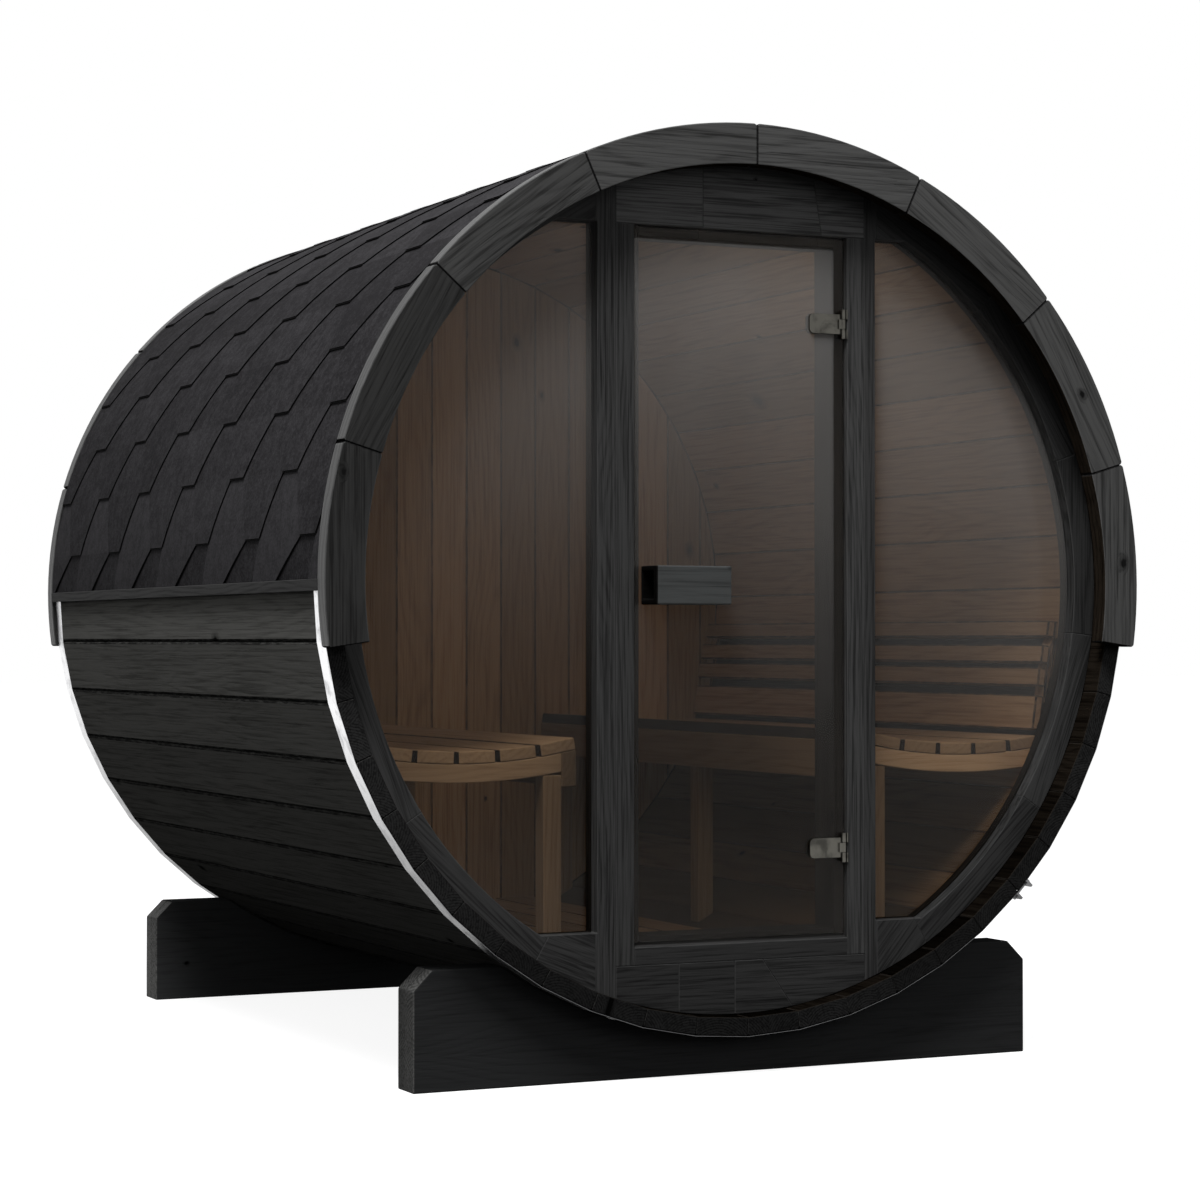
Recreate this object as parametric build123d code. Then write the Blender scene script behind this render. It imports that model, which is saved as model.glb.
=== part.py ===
from build123d import *
import os
from math import asin, cos, degrees, hypot, radians, sin, sqrt, tan

# Barrel sauna: a timber barrel lying on two cradles, with a glazed front wall and a glass door.
# Millimetres. X is the width, Y the length with the front wall at -Y, Z is up.
# The origin is on the ground, under the middle of the barrel.

# Barrel of staves
STAVE_COUNT = 48
STAVE_FACE_RADIUS = 1025.0
STAVE_THICKNESS = 42.0
STAVE_LENGTH = 2120.0
STAVE_GROOVE = 4.0
STAVE_GAP = 0.4
STAVES_PER_GROUP = 4
BARREL_CLEARANCE = 92.0

# Trim boards around the upper edge of both ends
TRIM_BOARDS = 8
TRIM_THICKNESS = 45.0
TRIM_WIDTH = 93.0
TRIM_OVERHANG = 12.0
TRIM_DROP_ANGLE = 8.2
TRIM_CORNER = 8.0
TRIM_NICK = 3.0

# Steel bands
BAND_WIDTH = 49.0
BAND_THICKNESS = 0.8
BAND_EDGE = 0.5
CLAMP_ANGLE = -44.0
CLAMP_LUG_HEIGHT = 24.0
CLAMP_BOLT_RISE = 14.0
CLAMP_LUG_WIDTH = 36.0
CLAMP_LUG_THICKNESS = 6.0
CLAMP_GAP = 34.0
CLAMP_BOLT_DIAMETER = 8.0
CLAMP_HEAD_DIAMETER = 14.0
CLAMP_HEAD_THICKNESS = 6.0

# Roof covering and the strip under its eaves
SHINGLE_COURSES = 11
SHINGLE_BUTT = 7.0
SHINGLE_HEAD = 4.0
SHINGLE_FACETS = 2
EAVE_STRIP_HEIGHT = 25.0
EAVE_STRIP_THICKNESS = 10.0

# Cradles
CRADLE_HALF_WIDTH = 788.0
CRADLE_SIDE_HEIGHT = 222.0
CRADLE_CHAMFER = 45.0
CRADLE_PLANK = 44.8
CRADLE_PLANKS = 2
CRADLE_INSET = 73.0

# Front wall
FRONT_RECESS = 55.0
SIDE_FRAME_DEPTH = 62.0
SIDE_FRAME_RIM = 58.0
SIDE_LIGHT_FOOT_RISE = 31.0
SIDE_LIGHT_HEAD_RISE = 1.0
SIDE_GLASS_THICKNESS = 8.0
SIDE_GLASS_SETBACK = 33.0
SIDE_GLASS_BITE = 12.0
POST_WIDTH_LEFT = 46.0
POST_WIDTH_RIGHT = 30.0

# Door frame
DOOR_CENTRE_X = 15.0
DOORWAY_WIDTH = 552.0
DOORWAY_STEP = 66.0
HEADER_HEIGHT = 175.0
JAMB_WIDTH = 46.0
SILL_HEIGHT = 46.0
SILL_FALL = 6.0
DOOR_FRAME_DEPTH = 115.0
REBATE_DEPTH = 23.0
STOP_WIDTH = 23.0

# Glass door
DOOR_GLASS_THICKNESS = 8.0
DOOR_GLASS_SETBACK = 10.0
DOOR_GAP = 5.0
HINGE_FROM_END = 203.0
HINGE_PIVOT_OUT = 8.0
HINGE_PIVOT_FROM_JAMB = 9.0
KNUCKLE_DIAMETER = 11.0
KNUCKLE_HEIGHT = 22.0
KNUCKLE_GAP = 1.0
HINGE_PIN_DIAMETER = 5.0
HINGE_PIN_PLAY = 0.5
CLAMP_PLATE_LENGTH = 82.0
CLAMP_PLATE_HEIGHT = 46.0
CLAMP_PLATE_THICKNESS = 6.0
CLAMP_PLATE_ROUND = 11.5
HINGE_ARM_OUT = 2.7
GLASS_BOLT_DIAMETER = 10.0
GLASS_BOLT_INSETS = (16.0, 48.0)
HINGE_LEAF_THICKNESS = 3.0
HANDLE_LENGTH = 190.0
HANDLE_HEIGHT = 87.0
HANDLE_DEPTH = 80.0
HANDLE_WALL = 12.0
HANDLE_FRONT_WALL = 18.0
HANDLE_BACK_WALL = 6.0
HANDLE_POCKET_LENGTH = 120.0
HANDLE_FROM_EDGE = 16.0
HANDLE_ABOVE_FLOOR = 874.0

# Back wall
BACK_RECESS = 55.0
BACK_BOARD_WIDTH = 109.0
BACK_BOARD_THICKNESS = 42.0
BACK_BOARD_MINIMUM = 14.0

# Floor
FLOOR_RISE = 102.0
FLOOR_BOARD_THICKNESS = 28.0
FLOOR_BOARD_WIDTH = 115.0
FLOOR_BOARD_GAP = 10.0
FLOOR_BOARDS = 6
JOIST_THICKNESS = 45.0
JOIST_COUNT = 4

# Benches, their depths measured from the wall at the lowest point of the seat
BENCH_DEPTH_LEFT = 559.0
BENCH_DEPTH_RIGHT = 494.0
HOLLOW_FROM_WALL_LEFT = 282.0
HOLLOW_FROM_WALL_RIGHT = 179.0
HOLLOW_RADIUS = 1350.0
SEAT_FOOT_RISE = 472.0
BENCH_SLAT_WIDTH = 89.5
BENCH_SLAT_GAP = 12.0
BENCH_SLAT_THICKNESS = 28.4
BENCH_SLAT_MINIMUM = 60.0
BENCH_WALL_SLAT = 54.0
BENCH_FROM_DOOR_FRAME = 35.0
FASCIA_THICKNESS = 37.0
FASCIA_FOOT_RISE = 417.0
BEARER_THICKNESS = 32.0
BEARER_HEIGHT = 42.0
LEG_SIZE = 45.0
BENCH_ROWS = 3

# Backrests: each board's foot above the floor, its width, and its face's distance from the wall
BACKREST_LOWEST_RIGHT = (530.0, 86.0, 25.0)
BACKREST_LOWEST_LEFT = (554.0, 62.0, 26.0)
BACKREST_BOARDS = (
    (638.0, 46.0, 37.0),
    (695.0, 45.0, 38.0),
    (759.0, 41.0, 29.0),
)
BACKREST_THICKNESS = 22.0
BACKREST_TILT = 8.0
BACKREST_BATTEN_WIDTH = 45.0
BACKREST_BATTEN_FOOT = 594.0

# Clearance between pieces that lie against each other
FIT = 0.3

# Places worked out from the sizes above
CENTRE_Z = BARREL_CLEARANCE + STAVE_FACE_RADIUS
INNER_RADIUS = STAVE_FACE_RADIUS - STAVE_THICKNESS
STAVE_ANGLE = 360.0 / STAVE_COUNT
STAVE_HALF_FACE = STAVE_FACE_RADIUS * tan(radians(STAVE_ANGLE / 2)) - STAVE_GAP / 2
STAVE_CORNER_RADIUS = hypot(STAVE_FACE_RADIUS, STAVE_HALF_FACE - STAVE_GROOVE)
WALL_RADIUS = INNER_RADIUS - FIT
BAND_INNER = STAVE_FACE_RADIUS + FIT
BAND_OUTER = BAND_INNER + BAND_THICKNESS
ROOF_RADIUS = BAND_OUTER / cos(radians(STAVE_ANGLE / 2)) + FIT
TRIM_OUTER_RADIUS = STAVE_FACE_RADIUS + TRIM_OVERHANG
TRIM_INNER_RADIUS = TRIM_OUTER_RADIUS - TRIM_WIDTH
STAVE_FRONT_Y = -STAVE_LENGTH / 2
STAVE_BACK_Y = STAVE_LENGTH / 2
FRONT_FACE_Y = STAVE_FRONT_Y + FRONT_RECESS
BACK_INNER_Y = STAVE_BACK_Y - BACK_RECESS - BACK_BOARD_THICKNESS
DOOR_FRAME_BACK_Y = FRONT_FACE_Y + DOOR_FRAME_DEPTH
FLOOR_TOP = CENTRE_Z - INNER_RADIUS + FLOOR_RISE
FLOOR_HALF_WIDTH = (FLOOR_BOARDS * (FLOOR_BOARD_WIDTH + FLOOR_BOARD_GAP) - FLOOR_BOARD_GAP) / 2
DOORWAY_BOTTOM = FLOOR_TOP + DOORWAY_STEP
DOORWAY_TOP = CENTRE_Z + INNER_RADIUS - HEADER_HEIGHT
SIDE_LIGHT_BOTTOM = DOORWAY_BOTTOM + SIDE_LIGHT_FOOT_RISE
SIDE_LIGHT_TOP = DOORWAY_TOP + SIDE_LIGHT_HEAD_RISE
DOORWAY_LEFT = DOOR_CENTRE_X - DOORWAY_WIDTH / 2
DOORWAY_RIGHT = DOOR_CENTRE_X + DOORWAY_WIDTH / 2
FRAME_LEFT = DOORWAY_LEFT - JAMB_WIDTH
FRAME_RIGHT = DOORWAY_RIGHT + JAMB_WIDTH
FRAME_BOTTOM = DOORWAY_BOTTOM - SILL_HEIGHT
SIDE_LIGHT_RADIUS = WALL_RADIUS - SIDE_FRAME_RIM
GLASS_FRONT_Y = FRONT_FACE_Y + DOOR_GLASS_SETBACK
HINGE_X = DOORWAY_RIGHT - HINGE_PIVOT_FROM_JAMB
HINGE_Y = GLASS_FRONT_Y - HINGE_PIVOT_OUT
HINGE_HEIGHTS = (DOORWAY_BOTTOM + HINGE_FROM_END, DOORWAY_TOP - HINGE_FROM_END)
HANDLE_CENTRE_HEIGHT = FLOOR_TOP + HANDLE_ABOVE_FLOOR
BENCH_FRONT_Y = DOOR_FRAME_BACK_Y + BENCH_FROM_DOOR_FRAME
BENCH_BACK_Y = BACK_INNER_Y - FIT
SEAT_FOOT_Z = FLOOR_TOP + SEAT_FOOT_RISE
HOLLOW_CENTRE_Z = SEAT_FOOT_Z + HOLLOW_RADIUS
BENCH_WALL_X = sqrt(INNER_RADIUS ** 2 - (CENTRE_Z - SEAT_FOOT_Z) ** 2)


def block(x0, x1, y0, y1, z0, z1):
    """A square-edged board between two corners."""
    centre = ((x0 + x1) / 2, (y0 + y1) / 2, (z0 + z1) / 2)
    return Pos(*centre) * Box(x1 - x0, y1 - y0, z1 - z0)


def section(y, z=CENTRE_Z):
    """The upright plane across the barrel at a place along it, with Z as its second axis."""
    return Plane(origin=(0, y, z), x_dir=(1, 0, 0), z_dir=(0, -1, 0))


def along(face, y0, y1, z=CENTRE_Z):
    """A face drawn across the barrel, made solid from one place along it to another."""
    return extrude(section(y0, z) * face, amount=y0 - y1)


def on_circle(radius, angle):
    """A point of a circle around the barrel's axis."""
    return (radius * cos(radians(angle)), radius * sin(radians(angle)))


def ring_face(inner, outer, start, end):
    """A piece of a flat ring between two angles."""
    span = end - start
    outline = Curve() + [
        CenterArc((0, 0), outer, start, span),
        CenterArc((0, 0), inner, start, span),
        Line(on_circle(inner, start), on_circle(outer, start)),
        Line(on_circle(inner, end), on_circle(outer, end)),
    ]
    return make_face(outline)


def mirrored(shape):
    """The same piece on the other side of the barrel."""
    return mirror(shape, about=Plane.YZ)


def write_piece(shape, name):
    """Write one piece, or one set of like pieces, to its file."""
    export_step(shape, os.path.join("parts", name + ".step"))


def stave(index):
    """One stave: flat faces, sides on the barrel's radii, grooved at the outer edges."""
    half_inner = INNER_RADIUS * tan(radians(STAVE_ANGLE / 2)) - STAVE_GAP / 2
    lower_edge = STAVE_FACE_RADIUS - STAVE_GROOVE
    half_edge = lower_edge * tan(radians(STAVE_ANGLE / 2)) - STAVE_GAP / 2
    corners = [
        (-half_inner, INNER_RADIUS),
        (half_inner, INNER_RADIUS),
        (half_edge, lower_edge),
        (STAVE_HALF_FACE - STAVE_GROOVE, STAVE_FACE_RADIUS),
        (-STAVE_HALF_FACE + STAVE_GROOVE, STAVE_FACE_RADIUS),
        (-half_edge, lower_edge),
    ]
    turned = Rot(0, 0, STAVE_ANGLE * (index + 0.5) - 90) * make_face(Polyline(*corners, close=True))
    return along(turned, STAVE_FRONT_Y, STAVE_BACK_Y)


def stave_groups():
    """The staves, numbered round the barrel from its right side and bundled in equal arcs."""
    groups = []
    for first in range(0, STAVE_COUNT, STAVES_PER_GROUP):
        last = min(first + STAVES_PER_GROUP, STAVE_COUNT)
        groups.append(Compound([stave(index) for index in range(first, last)]))
    return groups


def trim_board(index, start_y):
    """One board of the trim: an arc sawn from a plank, rounded outside and nicked at the inner joints."""
    step = (180 + 2 * TRIM_DROP_ANGLE) / TRIM_BOARDS
    start = -TRIM_DROP_ANGLE + step * index
    gap = degrees(FIT / 2 / TRIM_INNER_RADIUS)
    face = ring_face(TRIM_INNER_RADIUS, TRIM_OUTER_RADIUS, start + gap, start + step - gap)
    outer = [corner for corner in face.vertices() if hypot(corner.X, corner.Y) > STAVE_FACE_RADIUS]
    face = fillet(outer, TRIM_CORNER)
    inner = [
        corner for corner in face.vertices()
        if hypot(corner.X, corner.Y) < TRIM_INNER_RADIUS + TRIM_NICK and corner.Y > 0
    ]
    face = chamfer(inner, TRIM_NICK)
    return along(face, start_y, start_y + TRIM_THICKNESS)


def trim_half(right, start_y):
    """The boards on one side of the trim, as separate pieces."""
    half = TRIM_BOARDS // 2
    indices = range(half) if right else range(half, TRIM_BOARDS)
    return Compound([trim_board(index, start_y) for index in indices])


def band_ring(apothem):
    """The outline around all the staves' faces at one distance from the barrel's axis."""
    return RegularPolygon(apothem, STAVE_COUNT, major_radius=False)


def on_band(shape, centre_y):
    """Place a piece drawn over the origin, its foot at the barrel's axis, at the clamp."""
    return Pos(0, centre_y, CENTRE_Z) * Rot(0, 90 - CLAMP_ANGLE, 0) * shape


def band_clamp(centre_y):
    """The lugs and the bolt that pull a band tight, lying across a gap in it."""
    half_gap = CLAMP_GAP / 2
    top = BAND_OUTER + CLAMP_LUG_HEIGHT
    bolt_height = BAND_OUTER + CLAMP_BOLT_RISE
    bolt_length = CLAMP_GAP + 2 * CLAMP_LUG_THICKNESS + CLAMP_HEAD_THICKNESS
    clamp = Pos(0, 0, bolt_height) * Rot(0, 90, 0) * Cylinder(CLAMP_BOLT_DIAMETER / 2, bolt_length)
    for side in (-1, 1):
        inner = side * half_gap
        outer = side * (half_gap + CLAMP_LUG_THICKNESS)
        low, high = sorted((inner, outer))
        clamp += block(low, high, -CLAMP_LUG_WIDTH / 2, CLAMP_LUG_WIDTH / 2, BAND_INNER - CLAMP_LUG_THICKNESS, top)
        place = outer + side * CLAMP_HEAD_THICKNESS / 2
        head = extrude(RegularPolygon(CLAMP_HEAD_DIAMETER / 2, 6), amount=CLAMP_HEAD_THICKNESS / 2, both=True)
        clamp += Pos(place, 0, bolt_height) * Rot(0, 90, 0) * head
    core = along(band_ring(BAND_INNER), centre_y - BAND_WIDTH, centre_y + BAND_WIDTH)
    return on_band(clamp, centre_y) - core


def band(start_y):
    """A steel hoop drawn flat onto the staves' faces, cut where its clamp bridges it low on the right."""
    end_y = start_y + BAND_WIDTH
    centre_y = (start_y + end_y) / 2
    hoop = along(band_ring(BAND_OUTER) - band_ring(BAND_INNER), start_y, end_y)
    reach = STAVE_THICKNESS
    cut = block(-CLAMP_GAP / 2, CLAMP_GAP / 2, -BAND_WIDTH, BAND_WIDTH, BAND_INNER - reach, BAND_OUTER + reach)
    return hoop - on_band(cut, centre_y) + band_clamp(centre_y)


def shingle_courses(right):
    """One slope of shingles: each course laps the one below, so it is thickest at its lower edge."""
    course = 90.0 / SHINGLE_COURSES
    facet = course / SHINGLE_FACETS
    outline = []
    for index in range(SHINGLE_COURSES):
        start = course * index
        outline.append(on_circle(ROOF_RADIUS + SHINGLE_BUTT, start))
        outline.append(on_circle(ROOF_RADIUS + SHINGLE_HEAD, start + course))
    underside = ROOF_RADIUS / cos(radians(facet / 2))
    for index in range(SHINGLE_COURSES * SHINGLE_FACETS, -1, -1):
        outline.append(on_circle(underside, facet * index))
    slope = along(make_face(Polyline(*outline, close=True)), STAVE_FRONT_Y, STAVE_BACK_Y)
    return slope if right else mirrored(slope)


def eave_strip(right):
    """The strip that holds the lowest course against the staves."""
    drop = degrees(asin(EAVE_STRIP_HEIGHT / ROOF_RADIUS))
    gap = degrees(FIT / ROOF_RADIUS)
    face = ring_face(ROOF_RADIUS, ROOF_RADIUS + EAVE_STRIP_THICKNESS, -drop, -gap)
    strip = along(face, STAVE_FRONT_Y, STAVE_BACK_Y)
    return strip if right else mirrored(strip)


def cradle(start_y):
    """Two planks on edge, sawn out above to the barrel's round and cut back at the top corners."""
    seat_radius = STAVE_CORNER_RADIUS + FIT
    top = CRADLE_SIDE_HEIGHT + CRADLE_CHAMFER
    outline = [
        (-CRADLE_HALF_WIDTH, 0),
        (CRADLE_HALF_WIDTH, 0),
        (CRADLE_HALF_WIDTH, CRADLE_SIDE_HEIGHT),
        (CRADLE_HALF_WIDTH - CRADLE_CHAMFER, top),
        (-CRADLE_HALF_WIDTH + CRADLE_CHAMFER, top),
        (-CRADLE_HALF_WIDTH, CRADLE_SIDE_HEIGHT),
    ]
    face = make_face(Polyline(*outline, close=True)) - Pos(0, CENTRE_Z) * Circle(seat_radius)
    planks = []
    for index in range(CRADLE_PLANKS):
        y = start_y + index * (CRADLE_PLANK + FIT)
        planks.append(along(face, y, y + CRADLE_PLANK, z=0))
    return Compound(planks)


def side_light_face(post_edge, grow):
    """The outline of a side pane on the right, with a flat top and foot and a round outer edge."""
    radius = SIDE_LIGHT_RADIUS + grow
    inner = post_edge - grow
    top = SIDE_LIGHT_TOP + grow - CENTRE_Z
    foot = SIDE_LIGHT_BOTTOM - grow - CENTRE_Z
    tall = top - foot
    band_of_wall = Pos(inner + radius / 2, (top + foot) / 2) * Rectangle(radius, tall)
    return Circle(radius) & band_of_wall


def wall_side_face(frame_edge):
    """The part of the front wall to the right of the door frame, as one outline."""
    reach = WALL_RADIUS
    return Circle(WALL_RADIUS) & (Pos(frame_edge + reach / 2, 0) * Rectangle(reach, 2 * reach))


def side_frame(frame_edge, post_width):
    """Post and round rim beside the doorway, on the right, grooved for the pane."""
    post_edge = frame_edge + post_width
    face = wall_side_face(frame_edge + FIT) - side_light_face(post_edge, 0)
    frame = along(face, FRONT_FACE_Y, FRONT_FACE_Y + SIDE_FRAME_DEPTH)
    groove_y = FRONT_FACE_Y + SIDE_GLASS_SETBACK
    groove = along(
        side_light_face(post_edge, SIDE_GLASS_BITE + FIT),
        groove_y - FIT,
        groove_y + SIDE_GLASS_THICKNESS + FIT,
    )
    return frame - groove


def side_pane(frame_edge, post_width):
    """The fixed pane beside the doorway, on the right."""
    face = side_light_face(frame_edge + post_width, SIDE_GLASS_BITE)
    start = FRONT_FACE_Y + SIDE_GLASS_SETBACK
    return along(face, start, start + SIDE_GLASS_THICKNESS)


def wall_middle(z0, z1):
    """Part of the front wall between the side frames, from one height to another."""
    width = FRAME_RIGHT - FRAME_LEFT
    middle = (FRAME_RIGHT + FRAME_LEFT) / 2
    strip = Pos(middle, (z0 + z1) / 2 - CENTRE_Z) * Rectangle(width, z1 - z0)
    return Circle(WALL_RADIUS) & strip


def door_stop(x0, x1, z0, z1):
    """A stop behind the glass, part of the door frame."""
    return block(x0, x1, FRONT_FACE_Y + REBATE_DEPTH, DOOR_FRAME_BACK_Y, z0, z1)


def header():
    """The panel over the doorway, with the stop that closes the top of the door."""
    panel = along(wall_middle(DOORWAY_TOP, CENTRE_Z + WALL_RADIUS), FRONT_FACE_Y, FRONT_FACE_Y + SIDE_FRAME_DEPTH)
    head = block(
        FRAME_LEFT, FRAME_RIGHT, FRONT_FACE_Y + SIDE_FRAME_DEPTH, DOOR_FRAME_BACK_Y,
        DOORWAY_TOP, DOORWAY_TOP + JAMB_WIDTH,
    )
    stop = door_stop(DOORWAY_LEFT + STOP_WIDTH, DOORWAY_RIGHT - STOP_WIDTH, DOORWAY_TOP - STOP_WIDTH, DOORWAY_TOP)
    return panel + head + stop


def jamb(right):
    """A side of the door frame, with a rebate for the glass."""
    outer, inner = (FRAME_RIGHT, DOORWAY_RIGHT) if right else (FRAME_LEFT, DOORWAY_LEFT)
    inward = -1 if right else 1
    low, high = sorted((outer, inner))
    post = block(low, high, FRONT_FACE_Y, DOOR_FRAME_BACK_Y, FRAME_BOTTOM + FIT, DOORWAY_TOP - FIT)
    low, high = sorted((inner, inner + inward * (STOP_WIDTH - FIT)))
    return post + door_stop(low, high, DOORWAY_BOTTOM, DOORWAY_TOP - FIT)


def sill():
    """The foot of the door frame, weathered in front and raised behind the glass."""
    y0 = FRONT_FACE_Y
    y1 = DOOR_FRAME_BACK_Y
    rebate = FRONT_FACE_Y + REBATE_DEPTH
    profile = Polyline(
        (y0, FRAME_BOTTOM + FIT),
        (y1, FRAME_BOTTOM + FIT),
        (y1, DOORWAY_BOTTOM + STOP_WIDTH - SILL_FALL),
        (rebate, DOORWAY_BOTTOM + STOP_WIDTH - SILL_FALL),
        (rebate, DOORWAY_BOTTOM - FIT),
        (y0, DOORWAY_BOTTOM - SILL_FALL),
        close=True,
    )
    left = DOORWAY_LEFT + FIT
    length = DOORWAY_WIDTH - 2 * FIT
    face = Plane(origin=(left, 0, 0), x_dir=(0, 1, 0), z_dir=(1, 0, 0)) * make_face(profile)
    board = extrude(face, amount=length)
    reach = STOP_WIDTH + FIT
    for low in (DOORWAY_LEFT, DOORWAY_RIGHT - reach):
        board -= block(low, low + reach, rebate - FIT, y1 + 1, DOORWAY_BOTTOM - FIT, DOORWAY_TOP)
    return board


def foot_panel():
    """The round-bottomed panel under the door frame."""
    face = wall_middle(CENTRE_Z - WALL_RADIUS, FRAME_BOTTOM)
    return along(face, FRONT_FACE_Y, FRONT_FACE_Y + SIDE_FRAME_DEPTH)


def door_glass():
    """The frameless leaf, drilled for its hinges."""
    leaf = block(
        DOORWAY_LEFT + DOOR_GAP, DOORWAY_RIGHT - DOOR_GAP,
        GLASS_FRONT_Y, GLASS_FRONT_Y + DOOR_GLASS_THICKNESS,
        DOORWAY_BOTTOM + DOOR_GAP, DOORWAY_TOP - DOOR_GAP,
    )
    for height in HINGE_HEIGHTS:
        for hole in glass_bolts(height, GLASS_BOLT_DIAMETER + 2 * FIT):
            leaf -= hole
    return leaf


def glass_bolts(height, diameter):
    """The two bolts of one hinge, or their holes, through the glass."""
    y0 = GLASS_FRONT_Y - FIT - CLAMP_PLATE_THICKNESS / 2
    y1 = GLASS_FRONT_Y + DOOR_GLASS_THICKNESS + FIT + CLAMP_PLATE_THICKNESS / 2
    x1 = DOORWAY_RIGHT - STOP_WIDTH - DOOR_GAP
    length = y1 - y0
    bolts = []
    for inset in GLASS_BOLT_INSETS:
        bolts.append(Pos(x1 - inset, (y0 + y1) / 2, height) * Rot(90, 0, 0) * Cylinder(diameter / 2, length))
    return bolts


def hinge_clamp(height):
    """The half of a hinge that grips the glass, with its knuckle round the pin."""
    x1 = HINGE_X - KNUCKLE_DIAMETER / 2 - KNUCKLE_GAP
    x0 = x1 - CLAMP_PLATE_LENGTH
    z0 = height - CLAMP_PLATE_HEIGHT / 2
    z1 = height + CLAMP_PLATE_HEIGHT / 2
    inner_x = DOORWAY_RIGHT - STOP_WIDTH - DOOR_GAP
    back_y = GLASS_FRONT_Y + DOOR_GLASS_THICKNESS + FIT
    front = block(x0, x1, GLASS_FRONT_Y - FIT - CLAMP_PLATE_THICKNESS, GLASS_FRONT_Y - FIT, z0, z1)
    back = block(x0, inner_x, back_y, back_y + CLAMP_PLATE_THICKNESS, z0, z1)
    plates = []
    for plate in (front, back):
        corners = plate.edges().filter_by(Axis.Y).group_by(Axis.X)[0]
        plates.append(fillet(corners, CLAMP_PLATE_ROUND))
    knuckle = Pos(HINGE_X, HINGE_Y, height) * Cylinder(KNUCKLE_DIAMETER / 2, KNUCKLE_HEIGHT)
    arm = block(
        x1 - CLAMP_PLATE_THICKNESS, HINGE_X,
        HINGE_Y - HINGE_ARM_OUT, GLASS_FRONT_Y - FIT,
        height - KNUCKLE_HEIGHT / 2, height + KNUCKLE_HEIGHT / 2,
    )
    bore = Pos(HINGE_X, HINGE_Y, height) * Cylinder(HINGE_PIN_DIAMETER / 2 + HINGE_PIN_PLAY, CLAMP_PLATE_HEIGHT)
    clamp = plates[0] + plates[1] + arm + knuckle - bore
    for bolt in glass_bolts(height, GLASS_BOLT_DIAMETER):
        clamp += bolt
    return clamp


def hinge_leaf(height):
    """The half of a hinge that is screwed to the jamb, with its two knuckles and the pin."""
    reach = KNUCKLE_HEIGHT / 2 + KNUCKLE_GAP + KNUCKLE_HEIGHT
    z0 = height - reach
    z1 = height + reach
    leaf = block(
        DOORWAY_RIGHT - HINGE_LEAF_THICKNESS - FIT, DOORWAY_RIGHT - FIT,
        HINGE_Y - KNUCKLE_DIAMETER / 2, FRONT_FACE_Y + REBATE_DEPTH - FIT, z0, z1,
    )
    leaf -= block(
        DOORWAY_RIGHT - HINGE_LEAF_THICKNESS - 1, DOORWAY_RIGHT,
        HINGE_Y - KNUCKLE_DIAMETER, HINGE_Y + KNUCKLE_DIAMETER,
        height - KNUCKLE_HEIGHT / 2 - KNUCKLE_GAP, height + KNUCKLE_HEIGHT / 2 + KNUCKLE_GAP,
    )
    pin = Pos(HINGE_X, HINGE_Y, height) * Cylinder(HINGE_PIN_DIAMETER / 2, 2 * reach)
    shape = leaf + pin
    for side in (-1, 1):
        centre = height + side * (KNUCKLE_HEIGHT + KNUCKLE_GAP)
        shape += Pos(HINGE_X, HINGE_Y, centre) * Cylinder(KNUCKLE_DIAMETER / 2, KNUCKLE_HEIGHT)
        shape += block(
            HINGE_X, DOORWAY_RIGHT - FIT,
            HINGE_Y - HINGE_LEAF_THICKNESS / 2, HINGE_Y + HINGE_LEAF_THICKNESS / 2,
            centre - KNUCKLE_HEIGHT / 2, centre + KNUCKLE_HEIGHT / 2,
        )
    return shape


def handle():
    """A short length of timber on the glass, hollowed from its free end as a grip."""
    x0 = DOORWAY_LEFT + DOOR_GAP + HANDLE_FROM_EDGE
    y1 = GLASS_FRONT_Y - FIT
    y0 = y1 - HANDLE_DEPTH
    z0 = HANDLE_CENTRE_HEIGHT - HANDLE_HEIGHT / 2
    z1 = HANDLE_CENTRE_HEIGHT + HANDLE_HEIGHT / 2
    body = block(x0, x0 + HANDLE_LENGTH, y0, y1, z0, z1)
    pocket = block(
        x0 - 1, x0 + HANDLE_POCKET_LENGTH,
        y0 + HANDLE_FRONT_WALL, y1 - HANDLE_BACK_WALL,
        z0 + HANDLE_WALL, z1 - HANDLE_WALL,
    )
    return body - pocket


def back_wall():
    """Upright boards cut to the barrel's round."""
    boards = []
    count = int(WALL_RADIUS / BACK_BOARD_WIDTH) + 1
    disc = Circle(WALL_RADIUS)
    for index in range(-count, count + 1):
        centre = index * BACK_BOARD_WIDTH
        strip = Pos(centre, 0) * Rectangle(BACK_BOARD_WIDTH - STAVE_GAP, 2 * WALL_RADIUS)
        face = disc & strip
        if abs(centre) - BACK_BOARD_WIDTH / 2 < WALL_RADIUS - BACK_BOARD_MINIMUM:
            boards.append(along(face, BACK_INNER_Y, BACK_INNER_Y + BACK_BOARD_THICKNESS))
    return Compound(boards)


def bore_cut(shape):
    """Trim a piece to the inside of the barrel."""
    inside = along(Circle(WALL_RADIUS), STAVE_FRONT_Y, STAVE_BACK_Y)
    return shape & inside


def floor_boards():
    """Boards along the barrel, with gaps that let water through."""
    pitch = FLOOR_BOARD_WIDTH + FLOOR_BOARD_GAP
    boards = []
    for index in range(FLOOR_BOARDS):
        centre = (index - (FLOOR_BOARDS - 1) / 2) * pitch
        boards.append(
            block(
                centre - FLOOR_BOARD_WIDTH / 2, centre + FLOOR_BOARD_WIDTH / 2,
                DOOR_FRAME_BACK_Y + FIT, BACK_INNER_Y - FIT,
                FLOOR_TOP - FLOOR_BOARD_THICKNESS, FLOOR_TOP,
            )
        )
    return Compound(boards)


def row_places(count, start, end, width):
    """Evenly spaced places along the barrel for pieces of one width, the first and last at the ends."""
    step = (end - start - width) / (count - 1)
    return [start + index * step for index in range(count)]


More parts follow.
